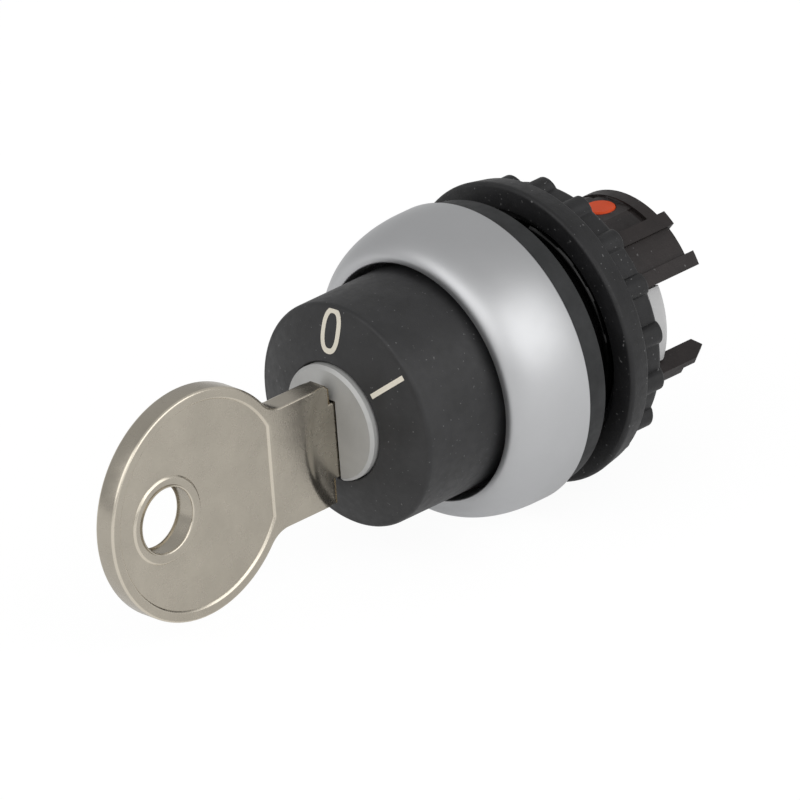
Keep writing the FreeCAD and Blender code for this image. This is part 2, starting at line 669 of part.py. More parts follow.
def key():
    """Flat key: round bow with a hole, a stepped neck and a cut blade."""
    bow_z = -BOW_CENTRE_DROP
    half = KEY_THICKNESS / 2.0
    bow = disc_plate(BOW_RADIUS, BOW_CENTRE, bow_z, half)
    neck = neck_plate(half)
    body = fused([bow, neck, blade_plate()])
    hole_y = BOW_CENTRE - KEY_HOLE_OFFSET
    for side in (-1, 1):
        body = body.cut(bow_panel(side, hole_y))
        body = body.cut(milled_face(side))
    return body.cut(disc_plate(KEY_HOLE_RADIUS, hole_y, bow_z, KEY_THICKNESS))


def disc_plate(radius, y, z, half):
    """Round plate in the plane of the key."""
    return Part.makeCylinder(radius, 2 * half, Vector(-half, y, z), Vector(1, 0, 0))


def flat_plate(points, half):
    """Plate with a polygon outline of (y, z) points, in the plane of the key."""
    corners = [Vector(-half, y, z) for y, z in points]
    face = Part.Face(Part.makePolygon(corners + corners[:1]))
    return face.extrude(Vector(2 * half, 0, 0))


def neck_plate(half):
    """Neck between bow and shoulder, with concave fillets where it meets the bow."""
    front = BOW_CENTRE
    step = SHOULDER_CHAMFER
    body = flat_plate([(front, NECK_TOP), (KEY_SHOULDER - step, NECK_TOP),
                       (KEY_SHOULDER, NECK_TOP - step), (KEY_SHOULDER, -NECK_BOTTOM),
                       (front, -NECK_BOTTOM)], half)
    pieces = [body]
    for edge in (NECK_TOP, -NECK_BOTTOM):
        pieces.append(bow_fillet(edge, half))
    return fused(pieces)


def bow_fillet(edge, half):
    """Fillet between the round bow and a straight edge of the neck."""
    outward = 1 if edge > 0 else -1
    height = edge + BOW_CENTRE_DROP
    centre_z = height + outward * NECK_FILLET
    centre_y = math.sqrt((BOW_RADIUS + NECK_FILLET) ** 2 - centre_z ** 2)
    touch_y = centre_y * BOW_RADIUS / (BOW_RADIUS + NECK_FILLET)
    touch_z = centre_z * BOW_RADIUS / (BOW_RADIUS + NECK_FILLET)
    base = -BOW_CENTRE_DROP
    web = flat_plate([(BOW_CENTRE + touch_y * 0.9, base + touch_z * 0.9),
                      (BOW_CENTRE + touch_y, base + touch_z),
                      (BOW_CENTRE + centre_y, base + centre_z),
                      (BOW_CENTRE + centre_y, base + height - outward * PAST)], half)
    return web.cut(disc_plate(NECK_FILLET, BOW_CENTRE + centre_y, base + centre_z, 2 * half))


def blade_plate():
    """Blade with its cuts along the upper edge and a bevelled tip."""
    half = BLADE_THICKNESS / 2.0
    root = KEY_SHOULDER - BLADE_IN_NECK
    points = [(root, BLADE_TOP)]
    flat = KEY_CUT_FLAT
    run = KEY_CUT_SHARE * WAFER_PITCH
    for i, depth in enumerate(KEY_CUTS):
        middle = wafer_place(i) + WAFER_THICKNESS / 2.0
        points += [(middle - run, BLADE_TOP), (middle - flat, BLADE_TOP - depth),
                   (middle + flat, BLADE_TOP - depth), (middle + run, BLADE_TOP)]
    points += [(BLADE_END - BLADE_TIP, BLADE_TOP), (BLADE_END, BLADE_TOP - BLADE_TIP_DROP),
               (BLADE_END, -BLADE_BOTTOM + BLADE_TIP_DROP), (BLADE_END - BLADE_TIP, -BLADE_BOTTOM),
               (root, -BLADE_BOTTOM)]
    blade = flat_plate(points, half)
    groove = block(half - BLADE_GROOVE_DEPTH, half + PAST, PLUG_FRONT + PLAY, BLADE_END + PAST,
                   -BLADE_GROOVE_LOW, -BLADE_GROOVE_TOP)
    return blade.cut(groove).cut(mirrored(groove))


def bow_panel(side, hole_y):
    """Shallow recess in one face of the bow, round a raised collar at the hole."""
    depth = BOW_PANEL_DEPTH
    half = KEY_THICKNESS / 2.0
    base = Vector(half - depth, BOW_CENTRE, -BOW_CENTRE_DROP)
    panel = Part.makeCylinder(BOW_RADIUS - BOW_RIM, 2 * depth, base, Vector(1, 0, 0))
    keep = Vector(half - depth, hole_y, -BOW_CENTRE_DROP)
    collar = Part.makeCylinder(KEY_HOLE_RADIUS + KEY_HOLE_COLLAR, 3 * depth, keep, Vector(1, 0, 0))
    limit = BOW_CENTRE + NECK_START
    strip = block(half - 2 * depth, half + 2 * depth, limit, limit + BOW_RADIUS,
                  -2 * BOW_RADIUS, 2 * BOW_RADIUS)
    panel = panel.cut(collar).cut(strip)
    return panel if side > 0 else mirrored(panel)


def milled_face(side):
    """Cutter run-out that thins the neck down to the blade on one face."""
    depth = (KEY_THICKNESS - BLADE_THICKNESS) / 2.0
    half = KEY_THICKNESS / 2.0
    place = Vector(half - depth, KEY_SHOULDER - MILL_LENGTH + MILL_RADIUS, -MILL_DROP)
    cutter = Part.makeCylinder(MILL_RADIUS, 4 * depth, place, Vector(1, 0, 0))
    return cutter if side > 0 else mirrored(cutter)


# ---------------------------------------------------------------- drive to the contacts
def ramp_face(radius_in, radius_out, base):
    """Helicoid strip that rises along +Y while it turns from +X towards +Z."""
    inner = Part.makeHelix(RAMP_PITCH, RAMP_RISE, radius_in, 0, True)
    outer = Part.makeHelix(RAMP_PITCH, RAMP_RISE, radius_out, 0, True)
    strip = Part.makeRuledSurface(inner.Edges[0], outer.Edges[0])
    strip.rotate(ORIGIN, Vector(1, 0, 0), -90)
    strip.translate(Vector(0, base, 0))
    return strip


def cam_rotor():
    """Rotor that the key turns: a bearing disc with two helical ramps behind it."""
    disc = rod(SLEEVE_BORE - RUN, ROTOR_FRONT, ROTOR_REAR)
    wide = TAIL_WIDTH / 2.0 + FIT
    slot = TAIL_THICKNESS / 2.0 + FIT
    disc = disc.cut(block(-wide, wide, ROTOR_FRONT - PAST, ROTOR_FRONT + TAIL_DEPTH + FIT,
                          -slot, slot))
    ramp = ramp_face(RAMP_INNER, RAMP_OUTER, ROTOR_REAR).extrude(Vector(0, -RAMP_RISE - PAST, 0))
    ramp = ramp.common(rod(RAMP_OUTER + PAST, ROTOR_REAR - PAST / 2.0, ROTOR_REAR + RAMP_RISE + PAST))
    body = disc.fuse([ramp, spun(ramp, 180)])
    for turn in (0.0, TURN_RANGE):
        for side in (90.0, 270.0):
            body = body.cut(rim_notch(side + turn))
    return body.removeSplitter()


def rim_notch(angle):
    """Round notch in the rotor's rim where an index ball drops in."""
    deep = SLEEVE_BORE - RUN + BALL_RADIUS - NOTCH_DEPTH
    notch = Part.makeSphere(BALL_RADIUS, Vector(deep, BALL_PLACE, 0))
    return spun(notch, angle)


def index_balls():
    """Steel index balls in the sleeve's pockets, as a group."""
    reach = SLEEVE_BORE + BALL_RADIUS
    balls = [Part.makeSphere(BALL_RADIUS, Vector(0, BALL_PLACE, side * reach))
             for side in (-1, 1)]
    return Part.makeCompound(balls)


def index_springs():
    """Springs that press the index balls on the rotor, as a group."""
    wire = 0.18 * BALL_RADIUS
    spare = 0.03 * BALL_ROOM
    start = SLEEVE_BORE + 2.0 * BALL_RADIUS + wire + spare
    length = BALL_ROOM - 2.0 * (BALL_RADIUS + wire + spare)
    springs = []
    for side in (-1, 1):
        spring = coil(BALL_RADIUS - 1.5 * wire, wire, length, SMALL_SPRING_TURNS)
        if side < 0:
            spring.rotate(ORIGIN, Vector(1, 0, 0), 180)
        spring.translate(Vector(0, BALL_PLACE, side * start))
        springs.append(spring)
    return Part.makeCompound(springs)


def tappet():
    """White slide that pushes the contacts: wings, ramps and a cup for its spring."""
    web_rear = TAPPET_FACE + TAPPET_WEB
    web = rod(TAPPET_CORE_RADIUS, TAPPET_FACE, web_rear)
    ramp = ramp_face(RAMP_INNER, RAMP_OUTER, ROTOR_REAR + PLAY)
    ramp = ramp.extrude(Vector(0, RAMP_RISE + PAST, 0))
    ramp = ramp.common(rod(RAMP_OUTER + PAST, ROTOR_REAR, TAPPET_FACE + PAST / 2.0))
    cup_front = web_rear - CUP_DEPTH
    pieces = [web, ramp, spun(ramp, 180), rod(CUP_RADIUS, cup_front, web_rear)]
    pieces += [tappet_wing(0.0, web_rear), tappet_wing(180.0, web_rear)]
    body = fused(pieces)
    return body.cut(rod(CUP_RADIUS - CUP_WALL, cup_front + CUP_WALL, web_rear + PAST))


def tappet_wing(angle, web_rear):
    """Wing that slides in a window of the frame, with a rounded rear edge."""
    spare = math.degrees(PLAY / WING_RADIUS)
    half = WINDOW_HALF_ANGLE - spare
    front = SLEEVE_REAR + WING_BEHIND_SLEEVE
    foot = CUP_RADIUS + WING_FOOT
    wing = sector(foot, WING_RADIUS, front, TAPPET_REAR, -half, half)
    soft = WING_ROUND
    limit = turned(Part.makePolygon([point(0, front), point(WING_RADIUS, front),
                                     point(WING_RADIUS, TAPPET_REAR - soft)]).Edges
                   + [Part.Arc(point(WING_RADIUS, TAPPET_REAR - soft),
                               point(WING_RADIUS - 0.3 * soft, TAPPET_REAR - 0.3 * soft),
                               point(WING_RADIUS - soft, TAPPET_REAR)).toShape()]
                   + Part.makePolygon([point(WING_RADIUS - soft, TAPPET_REAR),
                                       point(0, TAPPET_REAR), point(0, front)]).Edges)
    neck = sector(TAPPET_CORE_RADIUS - PAST, SLEEVE_BORE - PLAY, TAPPET_FACE, front + FIT,
                  -half, half)
    root = sector(foot, TAPPET_CORE_RADIUS, web_rear - 2.0 * FIT, TAPPET_REAR,
                  -WING_ROOT_HALF_ANGLE, WING_ROOT_HALF_ANGLE)
    reach = 2.0 * WING_RADIUS
    guard = block(-reach, BRIDGE_WIDTH / 2.0 + PLAY, web_rear, TAPPET_REAR + PAST, -reach, reach)
    return spun(wing.common(limit).fuse([neck, root]).cut(guard), angle)


def tappet_spring():
    """Return spring between the tappet's cup and the frame's bridge."""
    front = TAPPET_FACE + TAPPET_WEB - CUP_DEPTH + CUP_WALL + SPRING_WIRE + TOUCH
    rear = FRAME_REAR - BRIDGE_THICKNESS - SPRING_WIRE - TOUCH
    spring = coil(SPRING_RADIUS, SPRING_WIRE, rear - front, SPRING_TURNS)
    spring.rotate(ORIGIN, Vector(1, 0, 0), -90)
    spring.translate(Vector(0, front, 0))
    return spring


# ---------------------------------------------------------------- output
def pieces():
    """Every node's name and solid."""
    made = {
        "front_ring": front_ring(),
        "panel_seal": panel_seal(),
        "key_collar": key_collar(),
        "collar_seal": collar_seal(),
        "housing_sleeve": housing_sleeve(),
        "lock_barrel": lock_barrel(),
        "barrel_seal": barrel_seal(),
        "lock_nut": lock_nut(),
        "bayonet_frame": bayonet_frame(),
        "coding_pin": coding_pin(),
        "lock_plug": lock_plug(),
        "wafer_springs": wafer_springs(),
        "retaining_clip": retaining_clip(),
        "drive_tail": drive_tail(),
        "key": key(),
        "cam_rotor": cam_rotor(),
        "index_balls": index_balls(),
        "index_springs": index_springs(),
        "tappet": tappet(),
        "tappet_spring": tappet_spring(),
    }
    for i in range(WAFER_COUNT):
        made["wafer_%d" % (i + 1)] = wafer(i)
    return made


def main():
    os.makedirs("parts", exist_ok=True)
    for name, shape in pieces().items():
        shape.exportStep(os.path.join("parts", name + ".step"))
        count = len(shape.Solids)
        box = shape.BoundBox
        print("%-16s solids %d valid %s volume %8.2f  y %7.2f to %6.2f" % (
            name, count, shape.isValid(), shape.Volume, box.YMin, box.YMax))


main()
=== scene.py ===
# %% [markdown]
# # A key-operated selector, dressed for a studio picture
#
# The construction is already solved: every piece of the switch comes in from the
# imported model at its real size, and it moves on its own joint. This lesson gives
# those pieces their finish. Pieces whose look depends on soft edges, on a thread
# or on a printed mark are worked out again as fine surfaces on the same sizes, and
# all others keep their solid and get a better material.
#
# The switch axis is Y, the key points to -Y, +Z is up. Lengths are in metres.

# %% Load the frame
import json
import math

import bmesh
import bpy
import numpy as np
from mathutils import Matrix, Vector


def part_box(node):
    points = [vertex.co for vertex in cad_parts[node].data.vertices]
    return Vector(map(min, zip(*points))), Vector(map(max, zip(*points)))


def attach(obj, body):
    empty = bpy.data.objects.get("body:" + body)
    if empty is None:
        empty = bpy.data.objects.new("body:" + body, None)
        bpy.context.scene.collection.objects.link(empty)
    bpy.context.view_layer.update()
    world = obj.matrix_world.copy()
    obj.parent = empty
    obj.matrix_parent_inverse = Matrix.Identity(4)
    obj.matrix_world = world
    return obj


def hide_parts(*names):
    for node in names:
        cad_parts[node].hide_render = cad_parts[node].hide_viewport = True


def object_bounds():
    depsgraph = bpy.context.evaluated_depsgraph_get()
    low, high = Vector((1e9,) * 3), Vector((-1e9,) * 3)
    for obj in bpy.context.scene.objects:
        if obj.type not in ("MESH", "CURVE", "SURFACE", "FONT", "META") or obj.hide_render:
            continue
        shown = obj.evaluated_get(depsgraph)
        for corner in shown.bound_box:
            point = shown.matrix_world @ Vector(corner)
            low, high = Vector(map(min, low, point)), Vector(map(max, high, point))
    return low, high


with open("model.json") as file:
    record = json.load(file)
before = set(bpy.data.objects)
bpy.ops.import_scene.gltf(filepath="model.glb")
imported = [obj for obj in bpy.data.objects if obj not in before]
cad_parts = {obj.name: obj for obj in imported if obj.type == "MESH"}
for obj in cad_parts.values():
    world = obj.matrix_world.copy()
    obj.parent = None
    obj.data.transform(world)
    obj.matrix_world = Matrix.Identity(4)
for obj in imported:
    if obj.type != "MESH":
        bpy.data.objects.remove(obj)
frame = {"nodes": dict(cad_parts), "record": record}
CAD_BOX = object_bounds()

NODES = frame["nodes"]
MM = 0.001
GAP = 0.1 * MM

# %% [markdown]
# ## Sizes that the pieces share
#
# A designer would not measure the same thing twice, so each size is read from the
# box of the piece that owns it. A round piece on the axis has its radius in the
# box's largest X, and its ends in the lowest and highest Y. GAP is the clearance
# that a new surface keeps from its neighbour.


# %% Sizes read from the frame
def ends(node):
    """Front and rear Y of a node."""
    low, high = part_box(node)
    return low.y, high.y


def radius(node):
    """Outer radius of a round node on the axis: the largest X of its box."""
    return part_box(node)[1].x


def mount(name):
    """A mount of the record, by name."""
    return next(m for m in frame["record"]["mounts"] if m["name"] == name)


RING_R = radius("front_ring")
RING_FRONT, RING_REAR = ends("front_ring")
COLLAR_R = radius("key_collar")
COLLAR_NOSE, COLLAR_REAR = ends("key_collar")
NUT_FRONT, NUT_REAR = ends("lock_nut")
NUT_R = radius("lock_nut")
PLUG_FRONT = ends("lock_plug")[0]
PLUG_R = radius("lock_plug")
NECK_R = mount("panel_neck")["dims"]["r_mm"] * MM
print("ring radius %.2f mm, collar %.2f mm" % (RING_R / MM, COLLAR_R / MM))

# %% [markdown]
# ## Surfaces as arrays
#
# Each new piece is a grid of points: one direction runs along a profile, the other
# round the axis or along a path. The whole grid is one numpy array, and the faces
# come from its row and column numbers, so there is no loop over points. Both ways
# round are closed, which leaves no open edge. The sign of the enclosed volume says
# whether the faces point outwards, and they are turned round where they don't.


# %% Grid and mesh helpers
def grid_faces(rows, columns):
    """Quads of a grid closed both ways: corner numbers from row and column."""
    r, c = np.meshgrid(np.arange(rows), np.arange(columns), indexing="ij")
    r2 = (r + 1) % rows
    c2 = (c + 1) % columns
    quads = np.stack([r * columns + c, r2 * columns + c, r2 * columns + c2,
                      r * columns + c2], axis=-1)
    return quads.reshape(-1, 4)


def enclosed(points, quads):
    """Volume inside the quads: a sixth of the sum of a . (b x c) over triangles."""
    a, b, c, d = (points[quads[:, i]] for i in range(4))
    first = np.einsum("ij,ij->i", a, np.cross(b, c))
    second = np.einsum("ij,ij->i", a, np.cross(c, d))
    return float((first + second).sum()) / 6.0


def make_piece(name, points, quads, crease=35.0):
    """Object from arrays: smooth faces, with sharp edges above the crease angle."""
    points = np.asarray(points, float).reshape(-1, 3)
    if enclosed(points, quads) < 0:
        quads = quads[:, ::-1]
    mesh = bpy.data.meshes.new(name)
    mesh.vertices.add(len(points))
    mesh.vertices.foreach_set("co", points.ravel())
    mesh.loops.add(quads.size)
    mesh.loops.foreach_set("vertex_index", quads.ravel())
    mesh.polygons.add(len(quads))
    mesh.polygons.foreach_set("loop_start", np.arange(0, quads.size, 4))
    mesh.polygons.foreach_set("use_smooth", np.ones(len(quads), bool))
    mesh.update(calc_edges=True)
    mesh.validate()
    mesh.set_sharp_from_angle(angle=math.radians(crease))
    piece = bpy.data.objects.new(name, mesh)
    bpy.context.scene.collection.objects.link(piece)
    return piece


def bend(points, radii, steps=6):
    """Closed outline of straight runs with each corner rounded to its own radius.

    A corner is cut back by radius * tan(half the turn), and the arc between the two
    cuts is a circle that touches both runs.
    """
    points = np.asarray(points, float)
    out = []
    for i, size in enumerate(radii):
        here, before, after = points[i], points[i - 1], points[(i + 1) % len(points)]
        if size <= 0:
            out.append(here[None])
            continue
        u = (before - here) / np.linalg.norm(before - here)
        v = (after - here) / np.linalg.norm(after - here)
        half = 0.5 * math.acos(float(np.clip(u @ v, -1, 1)))
        cut = size / math.tan(half)
        centre = here + (u + v) / np.linalg.norm(u + v) * size / math.sin(half)
        start, stop = here + u * cut - centre, here + v * cut - centre
        swing = math.pi - 2.0 * half
        t = np.linspace(0.0, 1.0, steps + 1)[:, None]
        arc = (np.sin((1 - t) * swing) * start + np.sin(t * swing) * stop) / math.sin(swing)
        out.append(centre + arc)
    return np.concatenate(out)


def lathe(name, profile, segments=256, swell=None, crease=35.0):
    """Profile of (radius, y) points carried round the axis: (r cos a, y, r sin a)."""
    angle = np.linspace(0.0, 2.0 * np.pi, segments, endpoint=False)
    r = np.broadcast_to(profile[None, :, 0], (segments, len(profile))).copy()
    y = np.broadcast_to(profile[None, :, 1], r.shape).copy()
    if swell is not None:
        r, y = swell(angle[:, None], r, y)
    points = np.stack([r * np.cos(angle)[:, None], y, r * np.sin(angle)[:, None]], axis=-1)
    return make_piece(name, points, grid_faces(*r.shape), crease)


print("helpers ready")

# %% [markdown]
# ## Finishes
#
# Every finish is worked out from the piece's own coordinates, so it stays put when
# the piece moves. Each has three layers of detail: a slow change of tone, a fine
# grain that lifts the surface, and small marks of use. A finish on metal also gets
# scratches, from a noise that can be squeezed along one axis. The key's bevels get a
# painted highlight: they are coloured paler than its sides, standing in for lamp light.

# %% Levels of the noises
NOISE_LOW, NOISE_HIGH = 0.3, 0.7
PLASTIC_CLOUDS, METAL_CLOUDS = 0.35, 0.22
PLASTIC_WEAR, METAL_WEAR = 1.3, 0.8
SPECKS, SPECK_FROM, SPECK_FULL, SPECK_TONE = 3.1, 0.735, 0.775, 0.42
SCRATCH_FROM, SCRATCH_FULL, SCRATCH_SHADE = 0.60, 0.72, 0.55
# Painted highlight: factor that makes the key's bevel colour paler, standing in for lamp light
# on the edges.
PAINTED_HIGHLIGHT_FACTOR = 1.8
WORN = 0.12
PLASTIC_GRAIN, METAL_GRAIN = 0.03 * MM, 0.02 * MM
print("plastic grain %.3f mm, metal grain %.3f mm" % (PLASTIC_GRAIN / MM, METAL_GRAIN / MM))


# %% Material building blocks
def new_material(name):
    """Material with its shader node, its node list and its link maker."""
    material = bpy.data.materials.new(name)
    material.use_nodes = True
    nodes, links = material.node_tree.nodes, material.node_tree.links
    return material, nodes["Principled BSDF"], nodes, links


def place(nodes, links, stretch=(1.0, 1.0, 1.0)):
    """Object coordinates in millimetres, stretched by a mapping node."""
    where = nodes.new("ShaderNodeTexCoord")
    mapping = nodes.new("ShaderNodeMapping")
    mapping.inputs["Scale"].default_value = [s / MM for s in stretch]
    links.new(where.outputs["Object"], mapping.inputs["Vector"])
    return mapping.outputs["Vector"]


def noise(nodes, links, where, per_mm, detail=3.0, rough=0.55):
    """Noise with so many features for each millimetre."""
    node = nodes.new("ShaderNodeTexNoise")
    node.inputs["Scale"].default_value = per_mm
    node.inputs["Detail"].default_value = detail
    node.inputs["Roughness"].default_value = rough
    links.new(where, node.inputs["Vector"])
    return node.outputs["Fac"]


def ramp(nodes, links, source, stops):
    """Colours or greys along a value, from (place, colour) stops."""
    node = nodes.new("ShaderNodeValToRGB")
    elements = node.color_ramp.elements
    while len(elements) < len(stops):
        elements.new(0.5)
    for element, (at, colour) in zip(elements, stops):
        element.position = at
        element.color = (*colour, 1.0)
    links.new(source, node.inputs["Fac"])
    return node.outputs["Color"]


def grey(value):
    """Grey as a colour triple."""
    return (value, value, value)


def scaled(colour, factor):
    """Colour times a factor, kept below white."""
    return tuple(min(1.0, c * factor) for c in colour)


def bump(nodes, links, height, strength, distance, under=None):
    """Bump from a height, on top of another bump."""
    node = nodes.new("ShaderNodeBump")
    node.inputs["Strength"].default_value = strength
    node.inputs["Distance"].default_value = distance
    links.new(height, node.inputs["Height"])
    if under is not None:
        links.new(under, node.inputs["Normal"])
    return node.outputs["Normal"]


def mix_colour(nodes, links, factor, first, second):
    """Blend of a linked colour towards a fixed one."""
    node = nodes.new("ShaderNodeMix")
    node.data_type = "RGBA"
    links.new(factor, node.inputs[0])
    links.new(first, node.inputs[6])
    node.inputs[7].default_value = (*second, 1.0)
    return node.outputs[2]


def painted_highlight_mask(nodes, links, amount):
    """Mask of the painted highlight: bevels between flat sides (normal along X) and edges
    (across X).
    """
    where = nodes.new("ShaderNodeTexCoord")
    split = nodes.new("ShaderNodeSeparateXYZ")
    links.new(where.outputs["Normal"], split.inputs[0])
    facing = nodes.new("ShaderNodeMath")
    facing.operation = "ABSOLUTE"
    links.new(split.outputs["X"], facing.inputs[0])
    return ramp(nodes, links, facing.outputs[0], [(0.08, grey(0.0)), (0.3, grey(amount)),
                                                  (0.9, grey(amount)), (0.985, grey(0.0))])


print("material helpers ready")


# %% Finishes of moulded plastic and rubber
def moulded(name, colour, rough, grain=6.0, lift=0.25, tone=0.25, dust=0.0, specular=0.5,
            coat=0.0):
    """Moulded plastic: cloudy tone, spark-eroded grain, and pale specks of dust."""
    material, shader, nodes, links = new_material(name)
    where = place(nodes, links)
    cloud = noise(nodes, links, where, PLASTIC_CLOUDS, 4.0)
    base = ramp(nodes, links, cloud, [(NOISE_LOW, scaled(colour, 1 - tone)),
                                      (NOISE_HIGH, scaled(colour, 1 + tone))])
    if dust > 0:
        speck = noise(nodes, links, where, SPECKS, 1.0, 0.4)
        shown = ramp(nodes, links, speck, [(SPECK_FROM, grey(0.0)), (SPECK_FULL, grey(dust))])
        base = mix_colour(nodes, links, shown, base, grey(SPECK_TONE))
    links.new(base, shader.inputs["Base Color"])
    worn = noise(nodes, links, where, PLASTIC_WEAR, 5.0)
    rough_map = ramp(nodes, links, worn, [(NOISE_LOW, grey(rough * (1 - WORN))),
                                          (NOISE_HIGH, grey(rough * (1 + WORN)))])
    links.new(rough_map, shader.inputs["Roughness"])
    fine = noise(nodes, links, where, grain, 2.0)
    relief = bump(nodes, links, fine, lift, PLASTIC_GRAIN)
    links.new(relief, shader.inputs["Normal"])
    shader.inputs["Specular IOR Level"].default_value = specular
    shader.inputs["Coat Weight"].default_value = coat
    shader.inputs["Coat Roughness"].default_value = 0.12
    return material


# %% Finishes of metal
def metal(name, colour, rough, stretch=(1.0, 1.0, 1.0), scratches=0.2, grain=5.0, tone=0.08,
          wear=0.15, lift=0.12, share=1.0, painted_highlight=0.0):
    """Metal: slow tone, blasted grain, scratches along one direction, painted highlight on
    bevels.
    """
    material, shader, nodes, links = new_material(name)
    shader.inputs["Metallic"].default_value = share
    where = place(nodes, links)
    lines = place(nodes, links, stretch)
    cloud = noise(nodes, links, where, METAL_CLOUDS, 4.0)
    base = ramp(nodes, links, cloud, [(NOISE_LOW, scaled(colour, 1 - tone)),
                                      (NOISE_HIGH, scaled(colour, 1 + tone))])
    scratch = noise(nodes, links, lines, 1.0, 4.0, 0.7)
    shown = ramp(nodes, links, scratch, [(SCRATCH_FROM, grey(0.0)),
                                         (SCRATCH_FULL, grey(scratches))])
    base = mix_colour(nodes, links, shown, base, scaled(colour, SCRATCH_SHADE))
    # Painted highlight: the bevels' colour is made paler, standing in for lamp light along the
    # edges.
    if painted_highlight > 0:
        base = mix_colour(nodes, links, painted_highlight_mask(nodes, links, painted_highlight), base,
                          scaled(colour, PAINTED_HIGHLIGHT_FACTOR))
    links.new(base, shader.inputs["Base Color"])
    patch = noise(nodes, links, where, METAL_WEAR, 5.0)
    rough_map = ramp(nodes, links, patch, [(NOISE_LOW, grey(rough * (1 - wear))),
                                           (NOISE_HIGH, grey(rough * (1 + wear)))])
    links.new(rough_map, shader.inputs["Roughness"])
    fine = noise(nodes, links, where, grain, 2.0)
    relief = bump(nodes, links, fine, lift, METAL_GRAIN)
    relief = bump(nodes, links, scratch, 0.12, METAL_GRAIN, relief)
    links.new(relief, shader.inputs["Normal"])
    return material


FINISH = {
    "ring": metal("ring_satin_silver", (0.59, 0.595, 0.605), 0.44, scratches=0.03, grain=9.0,
                  tone=0.015, lift=0.06, wear=0.03),
    "collar": moulded("collar_charcoal", (0.020, 0.020, 0.021), 0.5, 7.0, 0.35, dust=0.2),
    "print": moulded("mark_print", (0.76, 0.71, 0.60), 0.55, 9.0, 0.2, 0.05),
    "seal": moulded("seal_rubber", (0.026, 0.027, 0.028), 0.62, 5.0, 0.3, specular=0.35),
    "gap": moulded("gap_seal_rubber", (0.012, 0.012, 0.013), 0.7, 5.0, 0.3, specular=0.3),
    "neck": moulded("neck_gloss_black", (0.003, 0.003, 0.003), 0.2, 3.0, 0.06, specular=0.35),
    "nut": moulded("nut_charcoal", (0.014, 0.014, 0.015), 0.5, 4.5, 0.7, dust=0.35,
                   specular=0.4),
    "frame": moulded("frame_brown_black", (0.017, 0.0125, 0.012), 0.5, 4.5, 0.45, dust=0.2,
                     specular=0.42),
    "pin": moulded("pin_orange", (0.68, 0.072, 0.014), 0.45, 4.0, 0.15, 0.1, specular=0.2),
    "tappet": moulded("tappet_white", (0.58, 0.58, 0.58), 0.45, 4.0, 0.12, 0.03),
    "rotor": moulded("rotor_grey", (0.22, 0.225, 0.23), 0.5, 4.0, 0.2),
    "plug": metal("plug_satin", (0.50, 0.50, 0.49), 0.55, scratches=0.1, grain=8.0,
                  wear=0.06, share=0.5),
    # The key's bevels carry a painted highlight.
    "key": metal("key_nickel", (0.49, 0.45, 0.38), 0.26, stretch=(1.0, 0.5, 14.0),
                 scratches=0.35, grain=6.0, tone=0.07, lift=0.3, painted_highlight=0.6),
    "barrel": metal("barrel_zinc", (0.45, 0.45, 0.46), 0.45),
    "brass": metal("wafer_brass", (0.66, 0.46, 0.18), 0.35),
    "spring": metal("spring_steel", (0.50, 0.50, 0.50), 0.25),
}
print("finishes:", len(FINISH))


# %% Give the carried-over solids their finish
def dress(node, finish):
    """Put a finish on a node that keeps its solid."""
    mesh = NODES[node].data
    mesh.materials.clear()
    mesh.materials.append(FINISH[finish])


WAFERS = sorted(n for n in NODES if n.startswith("wafer_") and n != "wafer_springs")
KEPT = {"collar_seal": "gap", "lock_barrel": "barrel", "barrel_seal": "gap",
        "coding_pin": "pin", "lock_plug": "plug",
        "wafer_springs": "spring", "retaining_clip": "spring", "drive_tail": "spring",
        "cam_rotor": "rotor", "index_balls": "spring", "index_springs": "spring",
        "tappet": "tappet", "tappet_spring": "spring"}
KEPT.update({wafer: "brass" for wafer in WAFERS})
for node, finish in KEPT.items():
    dress(node, finish)
print("dressed:", len(KEPT))


def stand_in(piece, node, body, finish):
    """A new piece gets a finish, joins a body and takes the place of a CAD node, which is
    hidden.
    """
    piece.data.materials.append(FINISH[finish])
    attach(piece, body)
    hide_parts(node)


# %% [markdown]
# ## Front ring
#
# The bezel is a thin shell, pressed and blasted to a satin silver. Its section is a
# quarter ellipse that runs out square at the panel and rolls over into a small
# bright lip at the collar. A modelled quarter ellipse reflects a lamp as one long
# soft band, which a bevelled cylinder would break, so the section is written as
# r = rc + a cos t, y = yc - b sin t with t from 0 to a quarter turn.

# %% Front ring
RING_STRAIGHT = 1.6 * MM
RING_LIP_R = 12.2 * MM
RING_BORE = COLLAR_R + 0.5 * MM
RING_WALL = 1.2 * MM
LIP_IN, LIP_BACK, LIP_DEEP = 0.12 * MM, 0.03 * MM, 1.0 * MM
LIP_ROUND, SKIRT_ROUND = 0.18 * MM, 0.15 * MM


def ring_profile():
    """Closed section: straight skirt, quarter ellipse, rolled lip, bore and inside."""
    t = np.linspace(0.0, 0.5 * np.pi, 48)
    crown_y = RING_REAR - RING_STRAIGHT
    outer = np.stack([RING_LIP_R + (RING_R - RING_LIP_R) * np.cos(t),
                      crown_y - (crown_y - RING_FRONT) * np.sin(t)], axis=1)
    roll = bend([outer[-1], (RING_BORE + LIP_IN, RING_FRONT + LIP_BACK),
                 (RING_BORE, RING_FRONT + LIP_DEEP)], [0, LIP_ROUND, 0], 6)[1:]
    inside = np.array([(RING_BORE, COLLAR_REAR - GAP), (RING_R - RING_WALL, COLLAR_REAR - GAP),
                       (RING_R - RING_WALL, RING_REAR)])
    skirt = bend([(RING_R - RING_WALL, RING_REAR), (RING_R, RING_REAR), (RING_R, crown_y)],
                 [0, SKIRT_ROUND, 0], 4)[1:-1]
    return np.concatenate([outer, roll, inside, skirt])


ring_shell = lathe("front_ring_shell", ring_profile(), 320)
stand_in(ring_shell, "front_ring", "housing", "ring")
print("ring points:", len(ring_shell.data.vertices))

